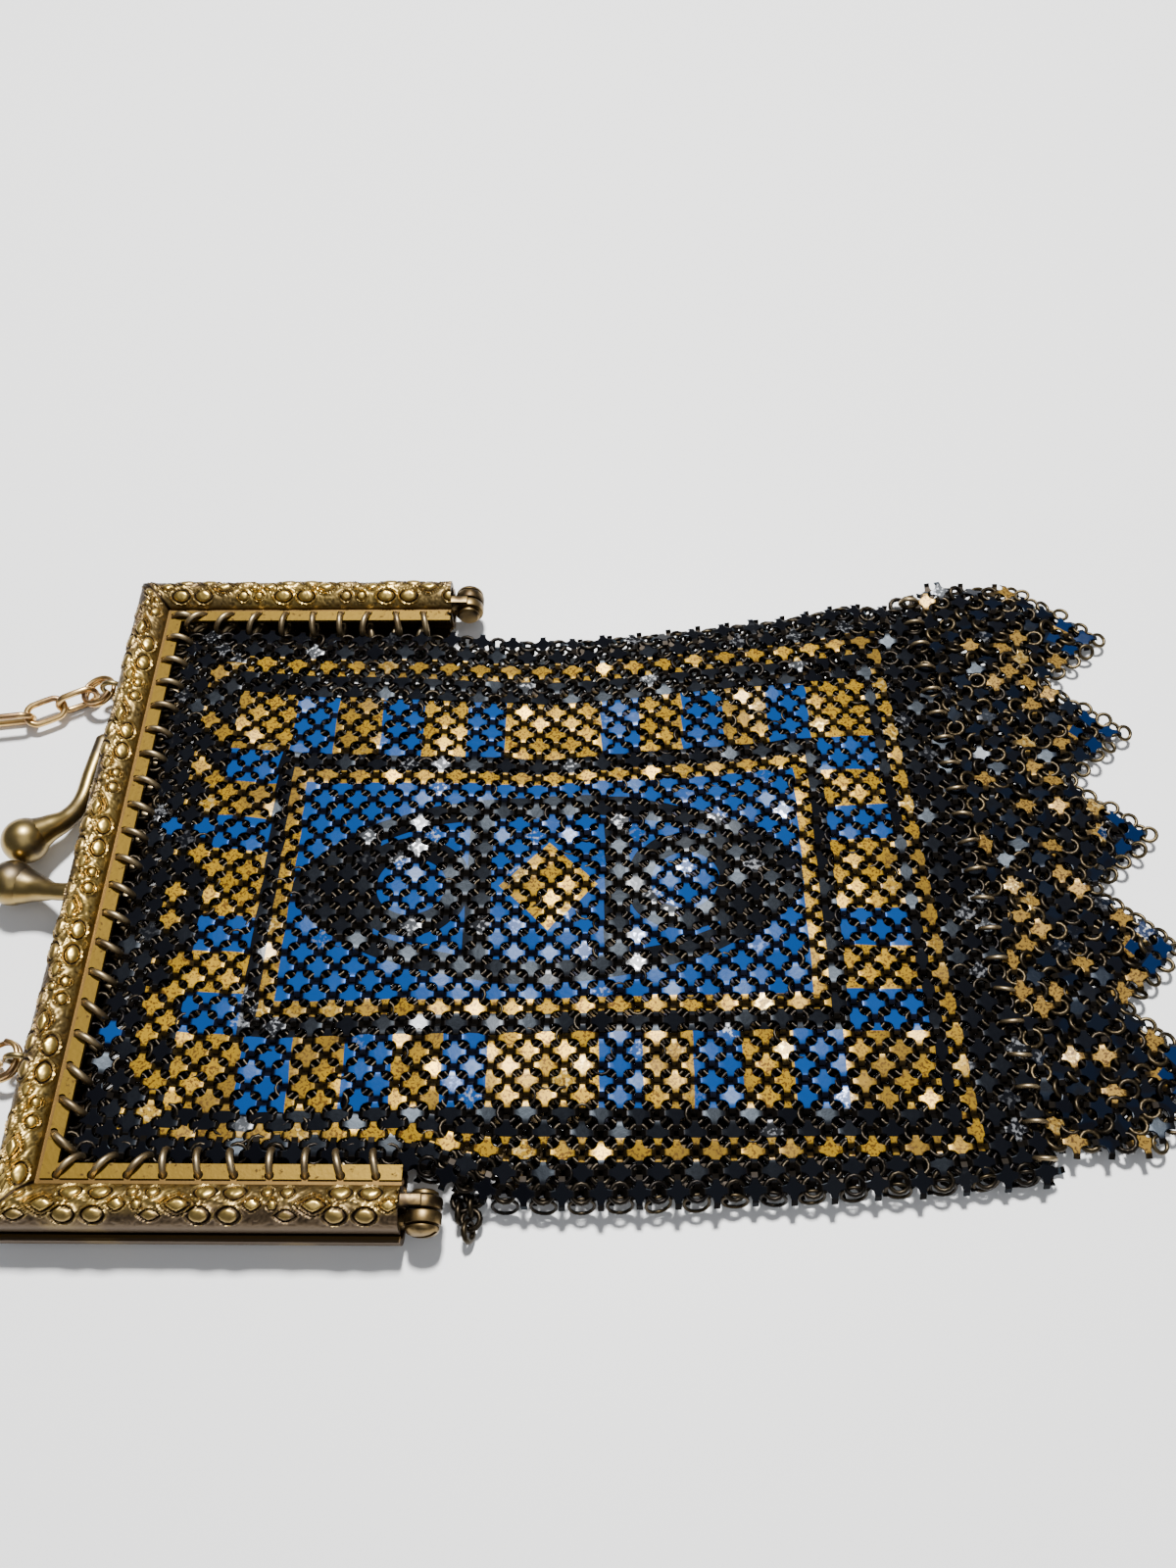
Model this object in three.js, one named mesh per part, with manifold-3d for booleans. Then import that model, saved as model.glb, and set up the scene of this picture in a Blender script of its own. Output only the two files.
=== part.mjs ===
// A flat metal mesh purse, lying on its back with its carrying chain laid out in a U.
// Millimetres. X runs from the frame's top bar towards the zigzag hem, Y across the purse, Z up from the
// table.
import * as THREE from 'three';
import { mergeVertices } from 'three/addons/utils/BufferGeometryUtils.js';
import Module from 'manifold-3d';

const wasm = await Module();
wasm.setup();

// Clearance between pieces that touch on the real purse
const seatGap = 0.3;

// How finely the round shapes are faceted
const ballSides = 10;
const ballRings = 8;
const neckSides = 8;
const frontNeckSteps = 6;
const backNeckSteps = 12;
const tongueSides = 8;
const boreSides = 6;
const pinSides = 12;
const eyeSides = 12;
const eyeWireSides = 6;
const ringWireSides = 6;
const ringSteps = 24;
const reliefRings = 3;
const routeDivisions = 800;

// Frame: two pressed channels, one facing up and one facing down
const frameWidth = 109;
const sideBarLength = 54.2;
const beadWidth = 5.8;
const flangeWidth = 2.5;
const halfHeight = 4.4;
const splitGap = 0.4;
const sheet = 0.8;
const flangeDrop = 1.9;
const beadShoulder = 1.5;
const backLip = 1.0;
const beadArcSteps = 6;

// Floral relief pressed into the bead
const reliefPitch = 17.6;
const reliefPhase = -4.2;
const reliefRise = 0.45;
const reliefRowOffset = 1.35;

// Hinges: two round tongues side by side on each bar end, and the rivet through them
const tongueDiameter = 5;
const tongueThickness = 1.6;
const tongueRoot = 6;
const tongueNeckHeight = 2.4;
const pinDiameter = 2.4;
const pinHeadDiameter = 4.6;
const pinHeadDome = 1.2;
const pinTailDiameter = 3.8;
const pinTailThickness = 0.6;
const slotWidth = 0.7;
const slotDepth = 0.6;
const slotTurn = THREE.MathUtils.degToRad(20);

// The rivet head's dome: shares of the head's radius and of the dome's height
const pinDome = [
  { radius: 1, rise: 0 },
  { radius: 1, rise: 0.3 },
  { radius: 0.7, rise: 0.8 },
  { radius: 0, rise: 1 },
];

// Kiss clasp: a ball on a soldered neck on each half
const frontBallDiameter = 7;
const backBallDiameter = 7.2;
const ballReach = 9.6;
const backBallInset = 0.2;
const frontBallY = -2.9;
const frontNeckY = -5.3;
const neckDiameter = 2.6;
const strapStartY = 25.4;
const strapWidth = 3;
const strapSeat = 0.3;

// The way of each neck from its root to the ball's middle: shares of that way in X, Y and Z, and its
// radius as a share of the neck's or the strap's width
const frontNeck = [
  { out: -0.08, across: 0, rise: 0, radius: 0.5 },
  { out: 0.25, across: 0.1, rise: 0.18, radius: 0.55 },
  { out: 0.55, across: 0.5, rise: 0.71, radius: 0.8 },
  { out: 1, across: 1, rise: 1, radius: 1.21 },
];
const backNeck = [
  { out: 0, across: 0, rise: 0, radius: 0.4 },
  { out: 0.09, across: 0.35, rise: 0, radius: 0.48 },
  { out: 0.15, across: 0.64, rise: 0.05, radius: 0.46 },
  { out: 0.33, across: 0.82, rise: 0.45, radius: 0.52 },
  { out: 0.63, across: 0.9, rise: 0.85, radius: 0.72 },
  { out: 1, across: 1, rise: 1, radius: 1.08 },
];

// Chain rings: an eye on the back half, and a double-wound ring in it; the two eyes sit a little off the
// frame's middle
const eyeY = 32.6;
const chainMiddleY = 2.2;
const eyeRadius = 1.75;
const eyeWire = 0.9;
const eyeDrop = 1.4;
const eyeSink = 0.45;
const ringDiameter = 6.2;
const ringWire = 0.8;
const ringTurns = 1.85;
const ringTurnGap = 0.06;

// Carrying chain: one long link, then two small ones, over and over
const linkWire = 1.1;
const smallLinkLength = 7.2;
const smallLinkWidth = 4.7;
const longLinkLength = 16.5;
const longLinkWidth = 4.7;
const linkSides = 10;
const linkWireSides = 5;
const linkGrip = 0.75;
const edgeRoll = THREE.MathUtils.degToRad(70);
const flatRoll = THREE.MathUtils.degToRad(-20);
const chainAxisHeight = 2.25;

// The chain's far half as it lies on the table: shares of its reach out from the ring, and of its widest
// distance from the middle
const chainReach = 106;
const chainSpread = 31;
const chainRoute = [
  { out: 0.142, across: 0.84 },
  { out: 0.321, across: 0.87 },
  { out: 0.585, across: 1 },
  { out: 0.811, across: 0.84 },
  { out: 0.953, across: 0.42 },
];

// Bag: two walls with an open hollow between them
const bagLength = 128;
const bagHeight = 6.8;
const bagWall = 1;
const bagSteps = 16;
const acrossSteps = 10;
const edgeRoundness = 12;

// Bag outline: shares of bag length, of the frame's half opening, and of bag height
const bagSections = [
  { along: 0.00, far: 1.000, near: 1.000, height: 1.00, tuck: 0 },
  { along: 0.35, far: 1.000, near: 1.000, height: 0.98, tuck: 0 },
  { along: 0.41, far: 0.995, near: 1.030, height: 0.95, tuck: 0.5 },
  { along: 0.46, far: 0.990, near: 1.100, height: 0.90, tuck: 1 },
  { along: 0.52, far: 0.995, near: 1.125, height: 0.85, tuck: 1 },
  { along: 0.64, far: 1.045, near: 1.120, height: 0.75, tuck: 1 },
  { along: 0.80, far: 1.110, near: 1.095, height: 0.66, tuck: 1 },
  { along: 0.91, far: 1.180, near: 1.065, height: 0.61, tuck: 1 },
  { along: 1.00, far: 1.165, near: 1.035, height: 0.58, tuck: 1 },
];

// Soft folds in the front wall: middle, half length and half width as shares of the bag's length and
// half opening, rise as a share of bag height, and the way the fold runs
const bagFolds = [
  { along: 0.52, across: 0.62, reach: 0.30, spread: 0.09, rise: -0.07, turn: 4 },
  { along: 0.58, across: -0.20, reach: 0.20, spread: 0.08, rise: 0.06, turn: -60 },
  { along: 0.82, across: 0.25, reach: 0.16, spread: 0.09, rise: 0.06, turn: 35 },
];

// Hem: a flat band that ends in pointed steps
const hemBand = 21.5;
const pointDepth = 9.5;
const pointPitch = 19.4;
const hemHeadHeight = 3.5;
const hemTipHeight = 2.2;
const hemSections = [
  { along: 0.0, far: 1.165, near: 1.035 },
  { along: 0.4, far: 1.235, near: 1.015 },
  { along: 1.0, far: 1.215, near: 0.965 },
];

// Sizes that follow from the ones above; heights are above the table, which the back half's relief rests on
const barWidth = beadWidth + flangeWidth;
const halfWidth = frameWidth / 2;
const splitHeight = reliefRise + halfHeight + splitGap / 2;
const eyeHeight = splitHeight - eyeDrop;
const halfOpening = halfWidth - barWidth - seatGap;
const mouthX = barWidth + seatGap;
const hemX = mouthX + bagLength + seatGap;
const eyeX = -backLip - eyeRadius + eyeSink * eyeWire;

// Finishes
const frameMetal = new THREE.MeshStandardMaterial({ color: 0x9c7b35, roughness: 0.35, metalness: 1 });
const rivetMetal = new THREE.MeshStandardMaterial({ color: 0x8a6e33, roughness: 0.4, metalness: 1 });
const chainMetal = new THREE.MeshStandardMaterial({ color: 0xa8823f, roughness: 0.35, metalness: 1 });
const enamelMesh = new THREE.MeshStandardMaterial({ color: 0x1a3f66, roughness: 0.35, metalness: 0.6 });
const darkMesh = new THREE.MeshStandardMaterial({ color: 0x2a2826, roughness: 0.4, metalness: 0.7 });

// Geometry helpers

// Shared vertices only, with the faces pointing out
function closedGeometry(geometry) {
  const plain = geometry.index ? geometry.toNonIndexed() : geometry.clone();
  for (const name of Object.keys(plain.attributes)) {
    if (name !== 'position') plain.deleteAttribute(name);
  }
  const welded = mergeVertices(plain, 1e-4);
  const position = welded.attributes.position;
  const corners = [0, 1, 2].map(() => new THREE.Vector3());
  const triangles = [];
  let volume = 0;
  for (let i = 0; i < welded.index.count; i += 3) {
    const ids = [0, 1, 2].map((k) => welded.index.getX(i + k));
    if (ids[0] === ids[1] || ids[1] === ids[2] || ids[2] === ids[0]) continue;
    ids.forEach((id, k) => corners[k].fromBufferAttribute(position, id));
    volume += corners[0].dot(corners[1].clone().cross(corners[2]));
    triangles.push(ids);
  }
  const order = volume < 0 ? [0, 2, 1] : [0, 1, 2];
  welded.setIndex(triangles.flatMap((ids) => order.map((k) => ids[k])));
  return welded;
}

function solid(geometry) {
  const closed = closedGeometry(geometry);
  return new wasm.Manifold(new wasm.Mesh({
    numProp: 3,
    vertProperties: new Float32Array(closed.attributes.position.array),
    triVerts: new Uint32Array(closed.index.array),
  }));
}

function geometryOf(manifold) {
  const mesh = manifold.getMesh();
  const geometry = new THREE.BufferGeometry();
  geometry.setAttribute('position', new THREE.BufferAttribute(new Float32Array(mesh.vertProperties), 3));
  geometry.setIndex(new THREE.BufferAttribute(new Uint32Array(mesh.triVerts), 1));
  return closedGeometry(geometry);
}

function fuse(geometries) {
  return geometries.map(solid).reduce((body, next) => body.add(next));
}

// A skin through rings of points, closed by a flat face at each end
function loft(rings) {
  const sides = rings[0].length;
  const positions = rings.flat().flatMap((point) => [point.x, point.y, point.z]);
  const index = [];
  for (let r = 0; r + 1 < rings.length; r += 1) {
    for (let s = 0; s < sides; s += 1) {
      const a = r * sides + s;
      const b = r * sides + ((s + 1) % sides);
      index.push(a, b, a + sides, b, b + sides, a + sides);
    }
  }
  const last = (rings.length - 1) * sides;
  for (const [a, b, c] of capTriangles(rings[0])) {
    index.push(a, c, b, last + a, last + b, last + c);
  }
  const geometry = new THREE.BufferGeometry();
  geometry.setAttribute('position', new THREE.Float32BufferAttribute(positions, 3));
  geometry.setIndex(index);
  return closedGeometry(geometry);
}

// Triangles over a flat ring, worked out in the plane that it lies in
function capTriangles(ring) {
  const normal = new THREE.Vector3();
  ring.forEach((point, i) => {
    normal.add(point.clone().cross(ring[(i + 1) % ring.length]));
  });
  const turn = new THREE.Quaternion().setFromUnitVectors(normal.normalize(), new THREE.Vector3(0, 0, 1));
  const flat = ring.map((point) => {
    const turned = point.clone().applyQuaternion(turn);
    return new THREE.Vector2(turned.x, turned.y);
  });
  return THREE.ShapeUtils.triangulateShape(flat, []);
}

// A round bar along a curve, with a radius at each of its points
function taperedBar(points, radii, sides, steps) {
  const curve = new THREE.CatmullRomCurve3(points);
  const frames = curve.computeFrenetFrames(steps, false);
  const rings = [];
  for (let i = 0; i <= steps; i += 1) {
    const centre = curve.getPointAt(i / steps);
    const place = curve.getUtoTmapping(i / steps) * (radii.length - 1);
    const row = Math.min(Math.floor(place), radii.length - 2);
    const radius = THREE.MathUtils.lerp(radii[row], radii[row + 1], place - row);
    rings.push(Array.from({ length: sides }, (_, s) => {
      const angle = (2 * Math.PI * s) / sides;
      return centre.clone()
        .addScaledVector(frames.normals[i], radius * Math.cos(angle))
        .addScaledVector(frames.binormals[i], radius * Math.sin(angle));
    }));
  }
  return loft(rings);
}

// A thin wall between two height fields over a grid of along and across steps
function wall(place, top, bottom) {
  const row = acrossSteps + 1;
  const layer = (bagSteps + 1) * row;
  const positions = [];
  for (const height of [top, bottom]) {
    for (let i = 0; i <= bagSteps; i += 1) {
      for (let j = 0; j <= acrossSteps; j += 1) {
        const spot = place(i / bagSteps, Math.sin((j / acrossSteps - 0.5) * Math.PI));
        positions.push(spot.x, spot.y, height(spot));
      }
    }
  }
  const index = [];
  const quad = (a, b, c, d) => index.push(a, b, c, a, c, d);
  for (let i = 0; i < bagSteps; i += 1) {
    for (let j = 0; j < acrossSteps; j += 1) {
      const a = i * row + j;
      quad(a, a + row, a + row + 1, a + 1);
      quad(layer + a, layer + a + 1, layer + a + row + 1, layer + a + row);
    }
  }
  for (let i = 0; i < bagSteps; i += 1) {
    const near = i * row;
    const far = near + acrossSteps;
    quad(near, layer + near, layer + near + row, near + row);
    quad(far, far + row, layer + far + row, layer + far);
  }
  for (let j = 0; j < acrossSteps; j += 1) {
    const end = bagSteps * row + j;
    quad(j, j + 1, layer + j + 1, layer + j);
    quad(end, layer + end, layer + end + 1, end + 1);
  }
  const geometry = new THREE.BufferGeometry();
  geometry.setAttribute('position', new THREE.Float32BufferAttribute(positions, 3));
  geometry.setIndex(index);
  return closedGeometry(geometry);
}

function tableValue(table, column, along) {
  const next = Math.max(1, table.findIndex((row) => row.along >= along));
  const [low, high] = [table[next - 1], table[next]];
  const share = (along - low.along) / (high.along - low.along);
  return THREE.MathUtils.lerp(low[column], high[column], share);
}

// Frame halves

// Height of the bead's skin above the split plane, at a distance in from its outer edge
function beadSkin(inset, outerEdge, thickness) {
  const middle = (outerEdge + beadWidth) / 2;
  const reach = (beadWidth - outerEdge) / 2 - thickness;
  const share = Math.min(1, Math.abs(inset - middle) / reach);
  const crown = halfHeight - beadShoulder - thickness;
  return beadShoulder + crown * Math.sqrt(1 - share * share);
}

function beadArc(outerEdge, thickness, steps) {
  const middle = (outerEdge + beadWidth) / 2;
  const reach = (beadWidth - outerEdge) / 2 - thickness;
  return Array.from({ length: steps + 1 }, (_, i) => {
    const inset = middle - reach * Math.cos((Math.PI * i) / steps);
    return { inset, height: beadSkin(inset, outerEdge, thickness) };
  });
}

// Section of one half: round bead outside, flat flange inside, open towards the other half
function halfSection(outerEdge) {
  const flangeTop = halfHeight - flangeDrop;
  const outside = beadArc(outerEdge, 0, beadArcSteps)
    .filter((point, i) => i < beadArcSteps || point.height > flangeTop);
  const inside = beadArc(outerEdge, sheet, beadArcSteps - 2).reverse();
  return [
    { inset: outerEdge, height: 0 },
    ...outside,
    { inset: beadWidth, height: flangeTop },
    { inset: barWidth, height: flangeTop },
    { inset: barWidth, height: flangeTop - sheet },
    { inset: beadWidth, height: flangeTop - sheet },
    { inset: beadWidth, height: 0 },
    { inset: beadWidth - sheet, height: 0 },
    ...inside,
    { inset: outerEdge + sheet, height: 0 },
  ];
}

// The section swept round the three bars, with mitred corners
function halfChannel(outerEdge, side) {
  const section = halfSection(outerEdge);
  const level = (height) => splitHeight + side * (splitGap / 2 + height);
  const corners = [
    (p) => new THREE.Vector3(sideBarLength, halfWidth - p.inset, level(p.height)),
    (p) => new THREE.Vector3(p.inset, halfWidth - p.inset, level(p.height)),
    (p) => new THREE.Vector3(p.inset, p.inset - halfWidth, level(p.height)),
    (p) => new THREE.Vector3(sideBarLength, p.inset - halfWidth, level(p.height)),
  ];
  return loft(corners.map((corner) => section.map(corner)));
}

// What one repeat of the relief holds: place along it, rows across, and the oval's length and width as
// shares of the repeat and of the bead's width
const reliefMotifs = [
  { name: 'dot', share: 0.00, rows: [0], length: 0.11, width: 0.33, sides: 6 },
  { name: 'leaf', share: 0.29, rows: [0], length: 0.25, width: 0.41, sides: 6 },
  { name: 'seed', share: 0.49, rows: [-1, 1], length: 0.17, width: 0.34, sides: 5 },
  { name: 'seed', share: 0.71, rows: [-1, 1], length: 0.17, width: 0.34, sides: 5 },
  { name: 'leaf', share: 0.86, rows: [0], length: 0.17, width: 0.38, sides: 6 },
];

// One raised oval of the relief, with its longer way along the bar
function reliefOval(motif) {
  const oval = new THREE.SphereGeometry(1, motif.sides, reliefRings);
  oval.rotateX(Math.PI / 2);
  oval.scale(motif.length * reliefPitch / 2, motif.width * beadWidth / 2, reliefRise);
  return oval;
}

function reliefAlong(start, direction, length, outerEdge, side, motifs) {
  const ovals = [];
  const inward = new THREE.Vector3(-direction.y, direction.x, 0);
  const middle = (outerEdge + beadWidth) / 2;
  for (let repeat = -1; repeat * reliefPitch < length; repeat += 1) {
    for (const motif of motifs) {
      const along = (repeat + motif.share) * reliefPitch + start.offset;
      if (along < beadWidth / 2 || along > length - motif.length * reliefPitch / 2) continue;
      for (const row of motif.rows) {
        const inset = middle + row * reliefRowOffset;
        const skin = beadSkin(inset, outerEdge, 0);
        const oval = reliefOval(motif);
        oval.rotateZ(Math.atan2(direction.y, direction.x));
        const spot = start.point.clone()
          .addScaledVector(direction, along)
          .addScaledVector(inward, inset);
        oval.translate(spot.x, spot.y, splitHeight + side * (splitGap / 2 + skin));
        ovals.push(oval);
      }
    }
  }
  return ovals;
}

function relief(outerEdge, side, motifs) {
  const farCorner = new THREE.Vector3(0, halfWidth, 0);
  const nearCorner = new THREE.Vector3(0, -halfWidth, 0);
  const barEnd = new THREE.Vector3(sideBarLength, halfWidth, 0);
  const topOffset = THREE.MathUtils.euclideanModulo(halfWidth - reliefPhase, reliefPitch);
  const cornerOffset = beadWidth / 2;
  const endOffset = (sideBarLength - cornerOffset) % reliefPitch;
  return [
    ...reliefAlong({ point: farCorner, offset: topOffset },
      new THREE.Vector3(0, -1, 0), frameWidth - cornerOffset, outerEdge, side, motifs),
    ...reliefAlong({ point: barEnd, offset: endOffset },
      new THREE.Vector3(-1, 0, 0), sideBarLength - beadWidth, outerEdge, side, motifs),
    ...reliefAlong({ point: nearCorner, offset: cornerOffset },
      new THREE.Vector3(1, 0, 0), sideBarLength, outerEdge, side, motifs),
  ];
}

// Hinge tongue: a stem inside the channel and a round end with a hole for the rivet
const tongueY = halfWidth - beadWidth / 2;
const tongueCentreX = sideBarLength + seatGap + tongueDiameter / 2;
const tonguePitch = tongueThickness + seatGap;

function tongue(y, side) {
  const radius = tongueDiameter / 2;
  const root = sideBarLength - tongueRoot;
  const low = side * (splitGap / 2 + seatGap);
  const neckTop = low + side * tongueNeckHeight;
  const rootTop = side * (splitGap / 2 + halfHeight - sheet);
  const disc = new THREE.Shape();
  disc.absarc(tongueCentreX, 0, radius, 0, 2 * Math.PI, false);
  const stem = new THREE.Shape([
    new THREE.Vector2(root, low),
    new THREE.Vector2(tongueCentreX, low),
    new THREE.Vector2(tongueCentreX, neckTop),
    new THREE.Vector2(sideBarLength - sheet, neckTop),
    new THREE.Vector2(sideBarLength - sheet, rootTop),
    new THREE.Vector2(root, rootTop),
  ]);
  const bore = new THREE.Shape();
  bore.absarc(tongueCentreX, 0, pinDiameter / 2 + seatGap, 0, 2 * Math.PI, false);
  const plate = (shape, depth, segments) => {
    const settings = { depth, bevelEnabled: false, curveSegments: segments };
    const geometry = new THREE.ExtrudeGeometry(shape, settings);
    geometry.rotateX(Math.PI / 2);
    geometry.translate(0, y + depth / 2, splitHeight);
    return solid(geometry);
  };
  const blank = plate(disc, tongueThickness, tongueSides).add(plate(stem, tongueThickness, 1));
  return blank.subtract(plate(bore, 2 * tongueThickness, boreSides));
}

// Kiss clasp: a ball, and the neck that joins it to the frame
function ballOnNeck(root, centre, diameter, rows, neckWidth, steps) {
  const points = rows.map((row) => new THREE.Vector3(
    THREE.MathUtils.lerp(root.x, centre.x, row.out),
    THREE.MathUtils.lerp(root.y, centre.y, row.across),
    THREE.MathUtils.lerp(root.z, centre.z, row.rise),
  ));
  const radii = rows.map((row) => row.radius * neckWidth);
  const ball = new THREE.SphereGeometry(diameter / 2, ballSides, ballRings);
  ball.translate(centre.x, centre.y, centre.z);
  return fuse([taperedBar(points, radii, neckSides, steps), ball]);
}

// The near ball's trumpet-shaped neck stands on the front half's bead
function frontBall() {
  const root = new THREE.Vector3(0, frontNeckY, splitHeight + splitGap / 2 + beadShoulder);
  const centre = new THREE.Vector3(-ballReach, frontBallY, splitHeight);
  return ballOnNeck(root, centre, frontBallDiameter, frontNeck, neckDiameter, frontNeckSteps);
}

// The far ball's neck bends into a strap that is soldered along the back half's lip
function backBall() {
  const touching = (frontBallDiameter + backBallDiameter) / 2 + seatGap;
  const strapHeight = splitHeight - splitGap / 2 - beadShoulder - seatGap;
  const root = new THREE.Vector3(-backLip - strapSeat * strapWidth, strapStartY, strapHeight);
  const centre = new THREE.Vector3(backBallInset - ballReach, frontBallY + touching, splitHeight);
  return ballOnNeck(root, centre, backBallDiameter, backNeck, strapWidth, backNeckSteps);
}

// Eye for a chain ring, standing out from the back half's lip
function ringEye(y) {
  const eye = new THREE.TorusGeometry(eyeRadius, eyeWire / 2, eyeWireSides, eyeSides);
  eye.rotateX(Math.PI / 2);
  eye.translate(eyeX, y, eyeHeight);
  return solid(eye);
}

function frameFront() {
  const parts = [halfChannel(0, 1), ...relief(0, 1, reliefMotifs)];
  return geometryOf([
    fuse(parts),
    frontBall(),
    tongue(tongueY - tonguePitch / 2, 1),
    tongue(tonguePitch / 2 - tongueY, 1),
  ].reduce((body, next) => body.add(next)));
}

function frameBack() {
  const sparse = reliefMotifs.filter((motif) => motif.name !== 'seed');
  const parts = [halfChannel(-backLip, -1), ...relief(-backLip, -1, sparse)];
  return geometryOf([
    fuse(parts),
    backBall(),
    ringEye(chainMiddleY + eyeY),
    ringEye(chainMiddleY - eyeY),
    tongue(tongueY + tonguePitch / 2, -1),
    tongue(-tonguePitch / 2 - tongueY, -1),
  ].reduce((body, next) => body.add(next)));
}

// Rivet: a domed slotted head outside, a flat upset tail inside
function hingePin(side) {
  const grip = tonguePitch + tongueThickness + 2 * seatGap;
  const tail = pinTailDiameter / 2;
  const shank = pinDiameter / 2;
  const profile = [
    [0, -grip / 2 - pinTailThickness],
    [tail, -grip / 2 - pinTailThickness],
    [tail, -grip / 2],
    [shank, -grip / 2],
    [shank, grip / 2],
    ...pinDome.map((row) => [row.radius * pinHeadDiameter / 2, grip / 2 + row.rise * pinHeadDome]),
  ].map(([x, y]) => new THREE.Vector2(x, y));
  const slot = new THREE.BoxGeometry(2 * pinHeadDiameter, 2 * slotDepth, slotWidth);
  slot.translate(0, grip / 2 + pinHeadDome, 0);
  slot.rotateY(slotTurn);
  const pin = geometryOf(solid(new THREE.LatheGeometry(profile, pinSides)).subtract(solid(slot)));
  if (side < 0) pin.rotateZ(Math.PI);
  return pin;
}

// Chain rings and chain

const ringRadius = (ringDiameter - ringWire) / 2;
const ringDrop = eyeHeight - chainAxisHeight;
const ringTilt = Math.asin(ringDrop / (2 * ringRadius));
const ringSpan = 2 * ringRadius * Math.cos(ringTilt);

class RingCurve extends THREE.Curve {
  getPoint(t, target = new THREE.Vector3()) {
    const angle = 2 * Math.PI * ringTurns * t;
    const rise = (ringWire + ringTurnGap) * ringTurns * (t - 0.5);
    return target.set(ringRadius * Math.cos(angle), ringRadius * Math.sin(angle), rise);
  }
}

function splitRing() {
  const wire = new THREE.Shape(Array.from({ length: ringWireSides }, (_, s) => {
    const angle = (2 * Math.PI * s) / ringWireSides;
    return new THREE.Vector2(Math.cos(angle), Math.sin(angle)).multiplyScalar(ringWire / 2);
  }));
  return closedGeometry(new THREE.ExtrudeGeometry(wire, { steps: ringSteps, extrudePath: new RingCurve() }));
}

// A link: a ring drawn out to its length, its bows kept round
function link(length, width, roll) {
  const bow = (width - linkWire) / 2;
  const straight = (length - width) / 2;
  const geometry = new THREE.TorusGeometry(bow, linkWire / 2, linkWireSides, linkSides);
  const position = geometry.attributes.position;
  for (let i = 0; i < position.count; i += 1) {
    const x = position.getX(i);
    position.setX(i, x + (x > 0 ? straight : -straight));
  }
  geometry.rotateX(roll);
  return geometry;
}

// The first link hangs with the ring's wire at the middle of its bow
const hook = (smallLinkWidth - linkWire - linkGrip * linkWire) / 2;

function chain() {
  const start = ringSpan - eyeX - hook;
  const points = [new THREE.Vector3(-start, eyeY, chainAxisHeight)];
  for (const row of chainRoute) {
    points.push(new THREE.Vector3(-start - row.out * chainReach, row.across * chainSpread, chainAxisHeight));
  }
  points.push(new THREE.Vector3(-start - chainReach, 0, chainAxisHeight));
  for (const point of points.slice(0, -1).reverse()) {
    points.push(new THREE.Vector3(point.x, -point.y, point.z));
  }
  const route = new THREE.CatmullRomCurve3(points, false, 'centripetal');
  route.arcLengthDivisions = routeDivisions;
  const small = { length: smallLinkLength, width: smallLinkWidth };
  const long = { length: longLinkLength, width: longLinkWidth };
  const grip = linkWire * (1 + linkGrip);
  const repeat = 2 * (smallLinkLength - grip) + longLinkLength - grip;
  const ends = 2 * (smallLinkLength - grip);
  const count = Math.round((route.getLength() - ends) / repeat);
  const links = [];
  for (let i = 0; i < count; i += 1) links.push(small, small, long);
  links.push(small, small);
  const stretch = route.getLength() / (count * repeat + ends);
  const geometries = [];
  let travelled = 0;
  links.forEach((kind, i) => {
    const pitch = (kind.length - grip) * stretch;
    const from = route.getPointAt(travelled / route.getLength());
    travelled += pitch;
    const to = route.getPointAt(Math.min(1, travelled / route.getLength()));
    const onRing = i === 0 || i === links.length - 1;
    const roll = onRing ? Math.PI / 2 : (i % 2 === 0 ? edgeRoll : flatRoll);
    const geometry = link(pitch + grip, kind.width, roll);
    geometry.rotateZ(Math.atan2(to.y - from.y, to.x - from.x));
    geometry.translate((from.x + to.x) / 2, chainMiddleY + (from.y + to.y) / 2, chainAxisHeight);
    geometries.push(geometry);
  });
  return geometryOf(fuse(geometries));
}

// Bag and hem

function bagPlace(along, across) {
  const edge = tableValue(bagSections, across > 0 ? 'far' : 'near', along);
  return {
    along,
    across,
    x: mouthX + along * bagLength,
    y: across * edge * halfOpening,
  };
}

// How far the wall has come down towards the bag's side seam: 1 in the middle, 0 at the seam
function edgeRound({ along, across }) {
  const round = Math.sqrt(1 - Math.min(1, Math.abs(across) ** edgeRoundness));
  return THREE.MathUtils.lerp(1, round, tableValue(bagSections, 'tuck', along));
}

function foldHeight({ along, across }) {
  let height = 0;
  for (const fold of bagFolds) {
    const turn = THREE.MathUtils.degToRad(fold.turn);
    const dx = (along - fold.along) * bagLength;
    const dy = (across - fold.across) * halfOpening;
    const lengthwise = (dx * Math.cos(turn) + dy * Math.sin(turn)) / (fold.reach * bagLength);
    const crosswise = (dy * Math.cos(turn) - dx * Math.sin(turn)) / (fold.spread * bagLength);
    height += fold.rise * bagHeight * Math.exp(-(lengthwise ** 2) - crosswise ** 2);
  }
  return height;
}

function frontWallTop(spot) {
  const height = tableValue(bagSections, 'height', spot.along) * bagHeight;
  const seam = height / 2 + seatGap / 2 + bagWall;
  const round = edgeRound(spot);
  return seam + (height - seam) * round + foldHeight(spot) * round;
}

function backWallBottom(spot) {
  const height = tableValue(bagSections, 'height', spot.along) * bagHeight;
  return (height / 2 - seatGap / 2 - bagWall) * (1 - edgeRound(spot));
}

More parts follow.
